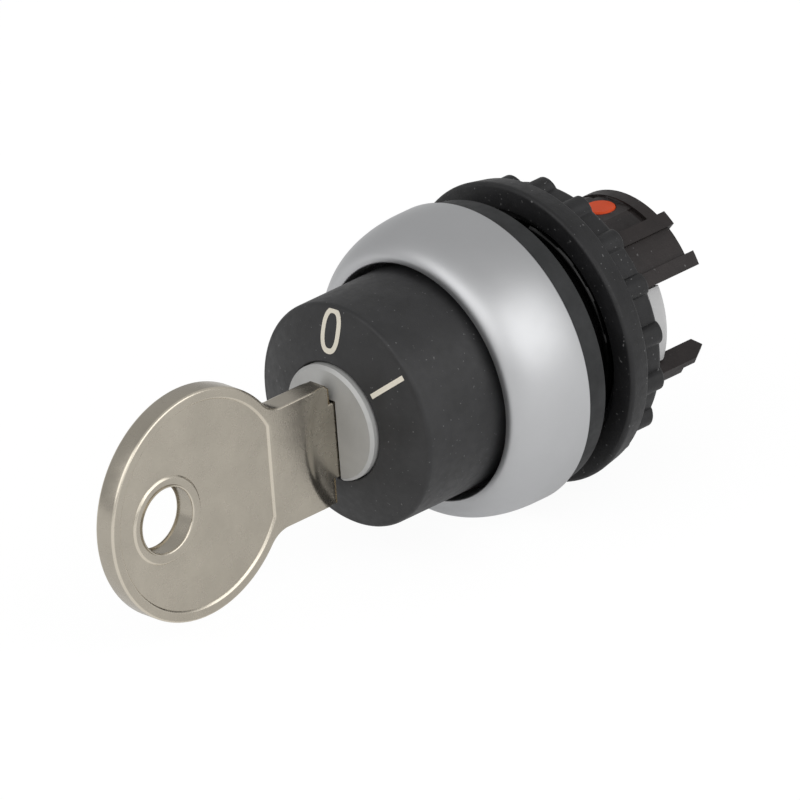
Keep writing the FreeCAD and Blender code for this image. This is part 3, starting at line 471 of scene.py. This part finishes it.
# %% [markdown]
# ## Marked collar
#
# The collar is a moulded cap: a cylinder with a softly broken edge and a shallow
# domed face. The dome is drawn as a slight bow on the line from the edge to the
# hole. The same height function places the printed marks later, so the marks follow
# the dome exactly.

# %% Marked collar
COLLAR_EDGE = 0.5 * MM
COLLAR_DOME = 1.5 * MM
COLLAR_HOLE = PLUG_R + GAP
COLLAR_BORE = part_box("lock_barrel")[1].x + GAP
COLLAR_BASE = COLLAR_REAR - 5.0 * MM
FACE_THICK = 2.2 * MM
HOLE_LEAD_IN = 0.12 * MM
DOME_BOW = 0.12 * MM
COLLAR_EDGE_Y = COLLAR_NOSE + COLLAR_DOME


def dome(r):
    """Y of the collar's face at radius r: a straight cone plus a parabola's bow."""
    t = (COLLAR_R - COLLAR_EDGE - r) / (COLLAR_R - COLLAR_EDGE - COLLAR_HOLE)
    return COLLAR_EDGE_Y - COLLAR_DOME * t - 4.0 * DOME_BOW * t * (1.0 - t)


def collar_profile():
    """Closed section of the cap: rear, skirt, rounded edge, dome and hole."""
    face_r = np.linspace(COLLAR_R - COLLAR_EDGE, COLLAR_HOLE + HOLE_LEAD_IN, 28)
    face = np.stack([face_r, dome(face_r)], axis=1)
    turn = np.linspace(0.0, 0.42 * np.pi, 8)[:-1]
    edge = np.stack([COLLAR_R - COLLAR_EDGE * (1 - np.cos(turn)),
                     COLLAR_EDGE_Y + COLLAR_EDGE * (1 - np.sin(turn))], axis=1)
    back = COLLAR_NOSE + FACE_THICK
    hole = np.array([(COLLAR_HOLE, COLLAR_NOSE + GAP), (COLLAR_HOLE, back)])
    inside = np.array([(COLLAR_BORE, back), (COLLAR_BORE, COLLAR_REAR)])
    skirt = np.array([(COLLAR_R, COLLAR_REAR), (COLLAR_R, COLLAR_BASE)])
    return np.concatenate([skirt, edge, face, hole, inside])


collar_cap = lathe("key_collar_cap", collar_profile(), 320)
stand_in(collar_cap, "key_collar", "housing", "collar")
print("collar points:", len(collar_cap.data.vertices))

# %% [markdown]
# ## Position marks
#
# The marks are a plain 0 at the top and a plain bar near the angle that the key
# turns to. On the real collar they are printed ink, a few hundredths of a millimetre
# proud. Each mark is a closed strip: its middle line, its width, and a thickness
# along the dome. The oval's middle line is a superellipse, |u|^n + |v|^n = 1, which
# gives the straight flanks of a drawn figure.

# %% Position marks
INK, INK_SUNK = 0.03 * MM, 0.02 * MM
MARK_STROKE = 0.5 * MM
ZERO_TURN = math.radians(-2.6)
ZERO_R = 8.8 * MM
ZERO_TALL = 3.66 * MM
ZERO_WIDE = 1.95 * MM
ZERO_POWER = 2.5
ZERO_STEPS = 160
BAR_TURN = math.radians(53.5)
BAR_R = 8.45 * MM
BAR_LONG = 3.9 * MM


def on_dome(u, v, turn):
    """Point of the face: u across and v outwards, turned clockwise from the top."""
    x = u * math.cos(turn) + v * math.sin(turn)
    z = -u * math.sin(turn) + v * math.cos(turn)
    return x, z, dome(np.hypot(x, z))


def ink_strip(u, v, turn):
    """Closed strip from a grid (length, 4) of section corners, lifted by the ink."""
    x, z, y = on_dome(u, v, turn)
    lift = np.array([INK_SUNK, -INK, -INK, INK_SUNK])
    return np.stack([x, y + lift[None, :], z], axis=-1)


def zero_mark():
    """Oval ring: superellipse middle line, widened along its own normal."""
    t = np.linspace(0.0, 2.0 * np.pi, ZERO_STEPS, endpoint=False)
    power = 2.0 / ZERO_POWER
    u0 = 0.5 * ZERO_WIDE * np.sign(np.cos(t)) * np.abs(np.cos(t)) ** power
    v0 = 0.5 * ZERO_TALL * np.sign(np.sin(t)) * np.abs(np.sin(t)) ** power
    du = np.roll(u0, -1) - np.roll(u0, 1)
    dv = np.roll(v0, -1) - np.roll(v0, 1)
    size = np.hypot(du, dv)
    side = np.array([-0.5, -0.5, 0.5, 0.5]) * MARK_STROKE
    u = u0[:, None] + (dv / size)[:, None] * side[None, :]
    v = v0[:, None] - (du / size)[:, None] * side[None, :] + ZERO_R
    points = ink_strip(u, v, ZERO_TURN)
    return make_piece("mark_zero", points, grid_faces(ZERO_STEPS, 4), 30.0)


def bar_mark():
    """Straight bar along the radius, closed at both ends by a last thin ring."""
    v0 = np.linspace(-0.5, 0.5, 24) * BAR_LONG + BAR_R
    v0 = np.concatenate([v0[:1], v0, v0[-1:]])
    side = np.array([-0.5, -0.5, 0.5, 0.5]) * MARK_STROKE
    u = np.broadcast_to(side[None, :], (len(v0), 4)).copy()
    u[0] = 0.0
    u[-1] = 0.0
    v = np.broadcast_to(v0[:, None], u.shape)
    points = ink_strip(u, v, BAR_TURN)
    faces = grid_faces(len(v0), 4)
    keep = faces[: (len(v0) - 1) * 4]
    return make_piece("mark_bar", points, keep, 30.0)


for mark in (zero_mark(), bar_mark()):
    mark.data.materials.append(FINISH["print"])
    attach(mark, "housing")
print("bar mark at %.1f degrees" % math.degrees(BAR_TURN))

# %% [markdown]
# ## Panel seal and neck
#
# The seal is a soft washer with a rounded rear edge. The neck is glossy, with a
# trapezoid thread behind the panel: its radius is the neck's radius less a depth
# that depends on y / pitch - angle / turn, which is a helix. Two flats along the
# neck, top and bottom, are the keying grooves.

# %% Panel seal
SEAL_LOW, SEAL_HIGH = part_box("panel_seal")
SEAL_ROUND, SEAL_REAR_ROUND, SEAL_TAPER = 0.1 * MM, 0.2 * MM, 0.1 * MM


def seal_profile():
    """Closed section of the washer: square at the ring, rounded at the panel."""
    bore = NECK_R + GAP
    outer = SEAL_HIGH.x
    return bend([(bore, SEAL_LOW.y), (outer, SEAL_LOW.y),
                 (outer - SEAL_TAPER, SEAL_HIGH.y), (bore, SEAL_HIGH.y)],
                [0, SEAL_ROUND, SEAL_REAR_ROUND, SEAL_ROUND], 6)


seal_washer = lathe("panel_seal_washer", seal_profile(), 256)
stand_in(seal_washer, "panel_seal", "housing", "seal")
print("seal thickness %.2f mm" % ((SEAL_HIGH.y - SEAL_LOW.y) / MM))

# %% Threaded neck
NECK_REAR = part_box("housing_sleeve")[1].y
THREAD_PITCH = 1.5 * MM
THREAD_DEPTH = 0.4 * MM
THREAD_FROM = 2.9 * MM
THREAD_FADE_IN, THREAD_FADE_OUT = 0.8 * MM, 0.3 * MM
THREAD_END = NECK_REAR - 0.5 * MM
GROOVE_HALF = 1.2 * MM
GROOVE_FLOOR = NECK_R - 0.5 * MM
GROOVE_FROM = 0.2 * MM
NECK_BORE = 9.45 * MM
NECK_CHAMFER = 0.4 * MM
SPIGOT_WALL = 0.9 * MM
ROTOR_SPARE = 0.3 * MM
ON_RADIUS = 0.01 * MM


def neck_profile():
    """Closed section: flange, neck with many stations for the thread, and bore."""
    flange = RING_R - RING_WALL - GAP
    inner, outer = COLLAR_BORE, COLLAR_BORE + SPIGOT_WALL
    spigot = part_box("housing_sleeve")[0].y
    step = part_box("cam_rotor")[0].y - ROTOR_SPARE
    y = np.linspace(RING_REAR, NECK_REAR - NECK_CHAMFER, 110)
    neck = np.stack([np.full_like(y, NECK_R), y], axis=1)
    front = np.array([(inner, spigot), (outer, spigot), (outer, COLLAR_REAR),
                      (flange, COLLAR_REAR), (flange, RING_REAR)])
    rear = np.array([(NECK_R - NECK_CHAMFER, NECK_REAR), (NECK_BORE, NECK_REAR),
                     (NECK_BORE, step), (inner, step)])
    return np.concatenate([front, neck, rear])


def cut_thread(angle, r, y):
    """Thread and keying grooves: both only lower the outer radius of the neck."""
    on_neck = np.abs(r - NECK_R) < ON_RADIUS
    phase = np.mod(y / THREAD_PITCH - angle / (2.0 * np.pi), 1.0)
    ridge = np.clip(np.abs(phase - 0.5) * 4.0 - 0.5, 0.0, 1.0)
    fade = np.clip((y - THREAD_FROM) / THREAD_FADE_IN, 0.0, 1.0)
    fade = fade * np.clip((THREAD_END - y) / THREAD_FADE_OUT, 0.0, 1.0)
    cut = np.where(on_neck, NECK_R - THREAD_DEPTH * ridge * fade, r)
    across = np.abs(NECK_R * np.cos(angle)) < GROOVE_HALF
    flat = GROOVE_FLOOR / np.maximum(np.abs(np.sin(angle)), 0.5)
    in_groove = on_neck & across & (y > GROOVE_FROM)
    return np.where(in_groove, np.minimum(cut, flat), cut), y


neck_sleeve = lathe("threaded_neck", neck_profile(), 320, cut_thread)
stand_in(neck_sleeve, "housing_sleeve", "housing", "neck")
print("neck points:", len(neck_sleeve.data.vertices))

# %% [markdown]
# ## Ring nut
#
# The nut is turned by hand or with a ring spanner that catches its nubs. It is one
# lathe surface whose radius swells at each nub: sqrt(1 - (s / w)^2) for a distance
# s along the rim, which is a half round post. The swell fades at the nut's rear
# edge, so each nub ends in a small dome.

# %% Ring nut
NUB_COUNT = 17
NUB_FIRST = math.radians(28.6)
NUB_HALF = 1.05 * MM
NUB_REACH = 13.95 * MM
NUT_RING_R = 13.1 * MM
NUT_FLANGE_REAR = NUT_FRONT + 2.6 * MM
NUT_BORE = NECK_R + GAP
NUT_RECESS_R = 12.4 * MM
NUT_RECESS = 1.3 * MM
NUT_TAPER = 0.5 * MM
NUT_ROUNDS = [0, 0.12 * MM, 0.4 * MM, 0.35 * MM, 0.2 * MM, 0]
NUT_EDGE_IN, NUT_EDGE_LONG = 0.3 * MM, 0.5 * MM


def nut_profile():
    """Closed section: recess, rounded flange, grip ring with stations, and bore."""
    flange = bend([(NUT_RECESS_R, NUT_FRONT + NUT_RECESS), (NUT_RECESS_R, NUT_FRONT),
                   (NUT_R, NUT_FRONT), (NUT_R - NUT_TAPER, NUT_FLANGE_REAR),
                   (NUT_RING_R, NUT_FLANGE_REAR), (NUT_RING_R, NUT_REAR)],
                  NUT_ROUNDS, 6)[:-1]
    y = np.linspace(NUT_FLANGE_REAR + 0.25 * MM, NUT_REAR - NUT_EDGE_LONG, 12)
    ring = np.stack([np.full_like(y, NUT_RING_R), y], axis=1)
    t = np.linspace(0.0, 0.5 * np.pi, 8)[1:]
    edge = np.stack([NUT_RING_R - NUT_EDGE_IN * (1 - np.cos(t)),
                     NUT_REAR - NUT_EDGE_LONG * (1 - np.sin(t))], axis=1)
    rest = np.array([(NUT_BORE, NUT_REAR), (NUT_BORE, NUT_FRONT + NUT_RECESS)])
    return np.concatenate([flange, ring, edge, rest])


def swell_nubs(angle, r, y):
    """Radius lifted to the nub's half round wherever a station lies on the ring."""
    step = 2.0 * np.pi / NUB_COUNT
    off = (np.mod(angle - NUB_FIRST + 0.5 * step, step) - 0.5 * step) * NUT_RING_R
    s = np.clip(np.abs(off) / NUB_HALF, 0.0, 1.0)
    round_top = np.sqrt(1.0 - s ** 2)
    on_ring = (y > NUT_FLANGE_REAR - 0.05 * MM) & (r > NUT_RING_R - NUT_EDGE_IN - ON_RADIUS)
    on_ring = on_ring & (r < NUT_RING_R + 0.3 * MM)
    back = np.clip((NUT_REAR - y) / NUT_EDGE_LONG, 0.0, 1.0)
    dome_end = np.sqrt(1.0 - (1.0 - back) ** 2)
    height = (NUB_REACH - NUT_RING_R) * round_top * dome_end
    return np.where(on_ring, r + height, r), y


grip_nut = lathe("ring_nut", nut_profile(), NUB_COUNT * 44, swell_nubs, 50.0)
stand_in(grip_nut, "lock_nut", "nut", "nut")
print("nut points:", len(grip_nut.data.vertices))

# %% [markdown]
# ## Rear frame
#
# The four prongs at the rear look the same after half a turn about the axis, so the
# wide prong is at the top on one side and at the bottom on the other. In the solid
# the left side is a mirror image of the right instead, so it is cut off beside the
# bridge, flipped top to bottom and set back. Both parts are capped at the cut, where
# the tube's wall is the same above and below. The sign of the volume turns the
# flipped part's faces outwards again.

# %% Rear frame
FRAME_CUT = -4.5 * MM
FRAME_CREASE = math.radians(12)
WELD = 0.001 * MM


def frame_side(keep_left):
    """Closed part of the frame on one side of the cut, as a bmesh."""
    part = bmesh.new()
    part.from_mesh(NODES["bayonet_frame"].data)
    bmesh.ops.remove_doubles(part, verts=part.verts, dist=WELD)
    geometry = part.verts[:] + part.edges[:] + part.faces[:]
    bmesh.ops.bisect_plane(part, geom=geometry, dist=0.1 * WELD, plane_co=(FRAME_CUT, 0, 0),
                           plane_no=(1, 0, 0), clear_outer=keep_left, clear_inner=not keep_left)
    rim = [e for e in part.edges if e.is_boundary]
    bmesh.ops.triangle_fill(part, edges=rim, use_beauty=True)
    if keep_left:
        for vert in part.verts:
            vert.co.z = -vert.co.z
    bmesh.ops.recalc_face_normals(part, faces=part.faces)
    if part.calc_volume(signed=True) < 0.0:
        bmesh.ops.reverse_faces(part, faces=part.faces)
    return part


def turned_frame():
    """Both parts of the frame in one mesh, smooth across its round walls."""
    mesh = bpy.data.meshes.new("rear_frame")
    whole = bmesh.new()
    for keep_left in (False, True):
        part = frame_side(keep_left)
        part.to_mesh(mesh)
        part.free()
        whole.from_mesh(mesh)
    open_edges = sum(e.is_boundary for e in whole.edges)
    whole.to_mesh(mesh)
    whole.free()
    mesh.shade_smooth()
    mesh.set_sharp_from_angle(angle=FRAME_CREASE)
    piece = bpy.data.objects.new("rear_frame", mesh)
    bpy.context.scene.collection.objects.link(piece)
    print("frame faces:", len(mesh.polygons), "open edges:", open_edges)
    return piece


stand_in(turned_frame(), "bayonet_frame", "housing", "frame")

# %% [markdown]
# ## Key bow
#
# The bow is stamped from plate and nickel plated: a raised rim and a raised collar
# round the hole, with a flat sunk panel between them. Seen from the hole, every
# point of the bow and neck lies in plain sight, so the outline is a distance for
# each angle: the longer of the way to the bow's circle and to the neck's straight
# edges, with a small circle filling the corner between. The section then runs from
# the hole's collar over the panel and rim, round the edge, and back on the far side.
# A round cutter has milled the neck down to the blade's thickness, which leaves a
# curved run-out.

# %% Key sizes
KEY_LOW, KEY_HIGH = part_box("key")
HALF = KEY_HIGH.x
BOW_R = 0.5 * (KEY_HIGH.z - KEY_LOW.z)
BOW = np.array([KEY_LOW.y + BOW_R, 0.5 * (KEY_HIGH.z + KEY_LOW.z)])
HOLE = np.array(mount("key_ring_hole")["pos_m"][1:])
HOLE_R = mount("key_ring_hole")["dims"]["r_mm"] * MM
SHOULDER = PLUG_FRONT - 0.55 * MM
NECK_TOP, NECK_BOTTOM = 4.5 * MM, -7.6 * MM
NECK_FILLET = 3.0 * MM
NECK_BEVEL = 0.5 * MM
PANEL_END = BOW[0] + 9.2 * MM
RIM, PANEL_DEPTH, COLLAR_WIDTH = 1.0 * MM, 0.2 * MM, 0.95 * MM
BLADE_HALF = 0.925 * MM
EDGE = 0.28 * MM
SLOPE, STEP_BREAK, STEP_DROP = 0.16 * MM, 0.1 * MM, 0.03 * MM
HOLE_ROUND = 0.18 * MM
CUTTER_R, RUN_OUT = 10.0 * MM, 1.0 * MM
MILL_LONG, MILL_Z = 3.6 * MM, -1.4 * MM
print("bow radius %.2f mm" % (BOW_R / MM))


# %% Outline of bow and neck
def to_circle(direction, centre, size):
    """Far distance from the hole's centre to a circle: the larger root of a quadratic."""
    gap = HOLE - centre
    along = direction @ gap
    return -along + np.sqrt(np.maximum(along ** 2 - gap @ gap + size ** 2, 0.0))


def to_neck(direction):
    """Distance to the neck's top, bottom, shoulder and bevelled corner."""
    cos, sin = direction[:, 0], direction[:, 1]
    far = np.full(len(cos), 1.0)
    bevel = SHOULDER + NECK_TOP - NECK_BEVEL - HOLE.sum()
    with np.errstate(divide="ignore", invalid="ignore"):
        top = np.where(sin > 1e-6, (NECK_TOP - HOLE[1]) / sin, far)
        bottom = np.where(sin < -1e-6, (NECK_BOTTOM - HOLE[1]) / sin, far)
        end = np.where(cos > 1e-6, (SHOULDER - HOLE[0]) / cos, far)
        corner = np.where(cos + sin > 1e-6, bevel / (cos + sin), far)
    out = np.minimum(np.minimum(top, bottom), np.minimum(end, corner))
    return np.where(cos > 0.05, out, 0.0)


def fillet(direction, reach, edge_z):
    """Outline with the corner between bow and one neck edge filled by a circle."""
    side = 1.0 if edge_z > BOW[1] else -1.0
    lift = edge_z - BOW[1] + side * NECK_FILLET
    ahead = math.sqrt((BOW_R + NECK_FILLET) ** 2 - lift ** 2)
    centre = BOW + np.array([ahead, lift])
    gap = HOLE - centre
    along = direction @ gap
    inside = along ** 2 - gap @ gap + NECK_FILLET ** 2
    near = -along - np.sqrt(np.maximum(inside, 0.0))
    touch = BOW + (centre - BOW) * BOW_R / (BOW_R + NECK_FILLET)
    limits = sorted(math.atan2(p[1] - HOLE[1], p[0] - HOLE[0])
                    for p in (touch, np.array([centre[0], edge_z])))
    angle = np.arctan2(direction[:, 1], direction[:, 0])
    between = (angle > limits[0]) & (angle < limits[1]) & (inside > 0)
    return np.where(between, np.maximum(near, reach), reach)


def outline(angle):
    """Distance from the hole's centre to the edge of bow and neck at each angle."""
    direction = np.stack([np.cos(angle), np.sin(angle)], axis=1)
    reach = np.maximum(to_circle(direction, BOW, BOW_R), to_neck(direction))
    for edge_z in (NECK_TOP, NECK_BOTTOM):
        reach = fillet(direction, reach, edge_z)
    return reach


print("reach of the neck %.2f mm" % (outline(np.zeros(1))[0] / MM))


# %% Bow and neck surface
def mill(y, z, x):
    """Face lowered to the blade's thickness inside the cutter's round run-out."""
    centre_y = SHOULDER - MILL_LONG + CUTTER_R
    inside = CUTTER_R - np.hypot(y - centre_y, z - MILL_Z)
    t = np.clip(inside / RUN_OUT, 0.0, 1.0)
    smooth = t * t * (3.0 - 2.0 * t)
    return x - (HALF - BLADE_HALF) * smooth * (x > BLADE_HALF)


def bow_mesh():
    """Polar grid about the hole: rows are angles, columns run along the section."""
    corners = [math.atan2(z - HOLE[1], y - HOLE[0]) for y, z in
               ((SHOULDER, NECK_BOTTOM), (SHOULDER, NECK_TOP - NECK_BEVEL),
                (SHOULDER - NECK_BEVEL, NECK_TOP))]
    angle = np.sort(np.concatenate([np.linspace(-np.pi, np.pi, 360, endpoint=False),
                                    np.linspace(-0.45, 0.45, 90), corners]))
    direction = np.stack([np.cos(angle), np.sin(angle)], axis=1)
    out = outline(angle)
    panel = to_circle(direction, BOW, BOW_R - RIM)
    with np.errstate(divide="ignore"):
        end = np.where(direction[:, 0] > 0.05, (PANEL_END - HOLE[0]) / direction[:, 0], 1.0)
    panel = np.minimum(panel, end)
    collar = HOLE_R + COLLAR_WIDTH
    low = HALF - PANEL_DEPTH
    one = np.ones_like(out)
    hole = [(one * (HOLE_R + HOLE_ROUND * (1 - math.sin(t))),
             HALF - HOLE_ROUND * (1 - math.cos(t)))
            for t in np.linspace(0.5 * np.pi, 0.0, 5)][::-1]
    columns = hole + [(one * (collar - STEP_BREAK), HALF), (one * collar, HALF - STEP_DROP),
                      (one * (collar + SLOPE), low)]
    for t in np.linspace(0.12, 0.88, 7):
        columns.append((collar + SLOPE + (panel - collar - 2 * SLOPE) * t, one * low))
    rim = panel + STEP_BREAK
    columns += [(panel - SLOPE, low), (panel, HALF - STEP_DROP), (rim, HALF)]
    for t in np.linspace(0.05, 0.97, 26):
        columns.append((rim + (out - EDGE - rim) * t, one * HALF))
    for t in np.linspace(0.0, 0.5 * np.pi, 6):
        columns.append((out - EDGE * (1 - math.sin(t)), HALF - EDGE * (1 - math.cos(t))))
    rho = np.stack([np.broadcast_to(c[0], out.shape) for c in columns], axis=1)
    x = np.stack([np.broadcast_to(c[1], out.shape) for c in columns], axis=1)
    y = HOLE[0] + rho * direction[:, :1]
    z = HOLE[1] + rho * direction[:, 1:]
    x = mill(y, z, x)
    front = np.stack([x, y, z], axis=-1)
    back = np.stack([-x, y, z], axis=-1)[:, ::-1]
    points = np.concatenate([front, back], axis=1)
    return make_piece("key_bow", points, grid_faces(*points.shape[:2]), 40.0)


key_bow = bow_mesh()
print("bow points:", len(key_bow.data.vertices))

# %% [markdown]
# ## Key blade
#
# The blade is a bar whose top edge dips at each cut. Its section is a closed loop
# with a milled groove on each side, and the loop is carried along the blade while
# its top and bottom follow two height functions. The cuts repeat at the wafers'
# places, so their middles are read from the wafers.

# %% Key blade
CUT_DEPTHS = np.array([1.1, 0.5, 1.3, 0.8, 1.2, 0.6]) * MM
BLADE_TOP, BLADE_BOTTOM = 2.4 * MM, -5.2 * MM
BLADE_END = KEY_HIGH.y
TIP = 1.3 * MM
CUT_FLAT = 0.3 * MM
CUT_MIDDLES = np.array([0.5 * sum(ends(wafer)) for wafer in WAFERS])
CUT_RUN = 0.48 * (CUT_MIDDLES[1] - CUT_MIDDLES[0])
TIP_SLOPE = 1.2
BLADE_ROUND, BLADE_PROUD, BLADE_IN_BOW = 0.1 * MM, 0.01 * MM, 1.0 * MM
GROOVE_DEPTH, GROOVE_START = 0.35 * MM, 0.3 * MM
GROOVE_Z = np.array([-1.9, -1.75, -0.65, -0.5]) * MM


def blade_edges(y):
    """Top and bottom of the blade along y: V cuts with flats, and a bevelled tip."""
    away = np.abs(y[:, None] - CUT_MIDDLES[None, :])
    share = np.clip((CUT_RUN - away) / (CUT_RUN - CUT_FLAT), 0.0, 1.0)
    top = BLADE_TOP - (share * CUT_DEPTHS[None, :]).max(axis=1)
    tip = np.clip((y - (BLADE_END - TIP)) / TIP, 0.0, 1.0) * TIP_SLOPE * TIP
    return np.minimum(top, BLADE_TOP - tip), BLADE_BOTTOM + tip


def blade_mesh():
    """Section loop carried along the blade, narrowed to a line at both ends."""
    knots = np.concatenate([CUT_MIDDLES - CUT_RUN, CUT_MIDDLES - CUT_FLAT,
                            CUT_MIDDLES + CUT_FLAT, CUT_MIDDLES + CUT_RUN, [BLADE_END - TIP]])
    y = np.sort(np.concatenate([np.linspace(SHOULDER - BLADE_IN_BOW, BLADE_END, 90), knots]))
    top, bottom = blade_edges(y)
    soft, h = BLADE_ROUND, BLADE_HALF + BLADE_PROUD
    deep = GROOVE_DEPTH * np.clip((y - PLUG_FRONT - GROOVE_START) / GROOVE_START, 0.0, 1.0)
    one = np.ones_like(y)
    side = [(h - soft, bottom), (h, bottom + soft), (h, GROOVE_Z[0]), (h - deep, GROOVE_Z[1]),
            (h - deep, GROOVE_Z[2]), (h, GROOVE_Z[3]), (h, top - soft), (h - soft, top)]
    x = np.stack([one * s[0] for s in side], axis=1)
    z = np.stack([one * s[1] for s in side], axis=1)
    x = np.concatenate([x, -x[:, ::-1]], axis=1)
    z = np.concatenate([z, z[:, ::-1]], axis=1)
    points = np.stack([x, np.broadcast_to(y[:, None], z.shape), z], axis=-1)
    middle = points.mean(axis=1, keepdims=True)
    first = np.broadcast_to(middle[:1], points[:1].shape)
    last = np.broadcast_to(middle[-1:], points[:1].shape)
    points = np.concatenate([first, points, last])
    faces = grid_faces(*points.shape[:2])[: (len(points) - 1) * points.shape[1]]
    return make_piece("key_blade", points, faces, 25.0)


key_blade = blade_mesh()
for piece in (key_bow, key_blade):
    piece.data.materials.append(FINISH["key"])
    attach(piece, "key")
    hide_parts("key")
print("blade points:", len(key_blade.data.vertices))

# %% [markdown]
# ## Stage, lamps and camera
#
# A long lens, far away, keeps parallel edges nearly parallel, as in a catalogue
# picture. The camera looks down on the front right of the switch. The floor is pale
# and shows white to the camera, with a faint shadow left in.

# %% Stage
FLOOR_Z = CAD_BOX[0].z
FLOOR_HALF = 3.0
FLOOR_TONE = 0.82
GLOW, GLOW_SHARE, MIRRORED_SHARE = 1.05, 0.9, 0.4


def pale_floor():
    """Large plate just under the switch, white to the camera with a faint shadow."""
    size = FLOOR_HALF
    mesh = bpy.data.meshes.new("floor")
    corners = [(-size, -size, FLOOR_Z), (size, -size, FLOOR_Z), (size, size, FLOOR_Z),
               (-size, size, FLOOR_Z)]
    mesh.from_pydata(corners, [], [(0, 1, 2, 3)])
    floor = bpy.data.objects.new("floor", mesh)
    bpy.context.scene.collection.objects.link(floor)
    material, shader, nodes, links = new_material("floor_pale")
    shader.inputs["Base Color"].default_value = (*grey(FLOOR_TONE), 1.0)
    shader.inputs["Roughness"].default_value = 0.8
    glow = nodes.new("ShaderNodeEmission")
    glow.inputs["Strength"].default_value = GLOW
    path = nodes.new("ShaderNodeLightPath")
    reflected = nodes.new("ShaderNodeMath")
    reflected.operation = "MAXIMUM"
    links.new(path.outputs["Is Glossy Ray"], reflected.inputs[0])
    links.new(path.outputs["Is Transmission Ray"], reflected.inputs[1])
    share = nodes.new("ShaderNodeMath")
    share.operation = "MULTIPLY_ADD"
    share.inputs[1].default_value = MIRRORED_SHARE
    links.new(reflected.outputs[0], share.inputs[0])
    links.new(path.outputs["Is Camera Ray"], share.inputs[2])
    amount = nodes.new("ShaderNodeMath")
    amount.operation = "MULTIPLY"
    amount.inputs[1].default_value = GLOW_SHARE
    links.new(share.outputs[0], amount.inputs[0])
    mixer = nodes.new("ShaderNodeMixShader")
    links.new(amount.outputs[0], mixer.inputs["Fac"])
    links.new(shader.outputs["BSDF"], mixer.inputs[1])
    links.new(glow.outputs["Emission"], mixer.inputs[2])
    links.new(mixer.outputs["Shader"], nodes["Material Output"].inputs["Surface"])
    mesh.materials.append(material)


pale_floor()
print("floor at %.2f mm" % (FLOOR_Z / MM))


# %% World and lamps
def studio_world(strength):
    """Even pale surroundings, white to the camera."""
    world = bpy.data.worlds.new("studio")
    bpy.context.scene.world = world
    world.use_nodes = True
    nodes, links = world.node_tree.nodes, world.node_tree.links
    background = nodes["Background"]
    background.inputs["Color"].default_value = (1.0, 1.0, 1.0, 1.0)
    path = nodes.new("ShaderNodeLightPath")
    level = nodes.new("ShaderNodeMath")
    level.operation = "MULTIPLY_ADD"
    level.inputs[1].default_value = 1.0 - strength
    level.inputs[2].default_value = strength
    links.new(path.outputs["Is Camera Ray"], level.inputs[0])
    links.new(level.outputs[0], background.inputs["Strength"])


def lamp(name, place_at, aim, width, height, power):
    """Rectangular area lamp that faces a point of the switch."""
    data = bpy.data.lights.new(name, "AREA")
    data.shape = "RECTANGLE"
    data.size = width
    data.size_y = height
    data.energy = power
    light = bpy.data.objects.new(name, data)
    light.location = place_at
    light.rotation_euler = (Vector(aim) - Vector(place_at)).to_track_quat("-Z", "Y").to_euler()
    bpy.context.scene.collection.objects.link(light)


AIM = Vector((0.0, -13.0 * MM, -1.0 * MM))
studio_world(strength=0.5)
lamp("key_lamp", (0.50, 0.13, 0.29), AIM, 0.56, 0.50, 1.05)
lamp("side_lamp", (0.48, -0.29, 0.36), AIM, 0.50, 0.50, 0.47)
lamp("front_lamp", (0.02, -0.60, 0.42), AIM, 0.90, 0.55, 1.55)
print("lamps:", len(bpy.data.lights))


# %% Camera
def studio_camera(azimuth, elevation, roll, distance, width):
    """Camera on a sphere round the aim; width is what it sees at the aim."""
    a, e, turn = (math.radians(v) for v in (azimuth, elevation, roll))
    back = Vector((math.sin(a) * math.cos(e), -math.cos(a) * math.cos(e), math.sin(e)))
    right = Vector((math.cos(a), math.sin(a), 0.0))
    up = back.cross(right)
    axes = Matrix((right * math.cos(turn) + up * math.sin(turn),
                   up * math.cos(turn) - right * math.sin(turn), back)).transposed()
    data = bpy.data.cameras.new("camera")
    data.sensor_width = 36.0
    data.lens = data.sensor_width * distance / width
    data.clip_end = 20.0
    camera = bpy.data.objects.new("camera", data)
    camera.matrix_world = Matrix.Translation(AIM + back * distance) @ axes.to_4x4()
    bpy.context.scene.collection.objects.link(camera)
    bpy.context.scene.camera = camera


studio_camera(azimuth=47.57, elevation=24.49, roll=-4.62, distance=3.3, width=74.3 * MM)
bpy.context.scene.view_settings.view_transform = "Standard"
print("lens %.0f mm" % bpy.context.scene.camera.data.lens)
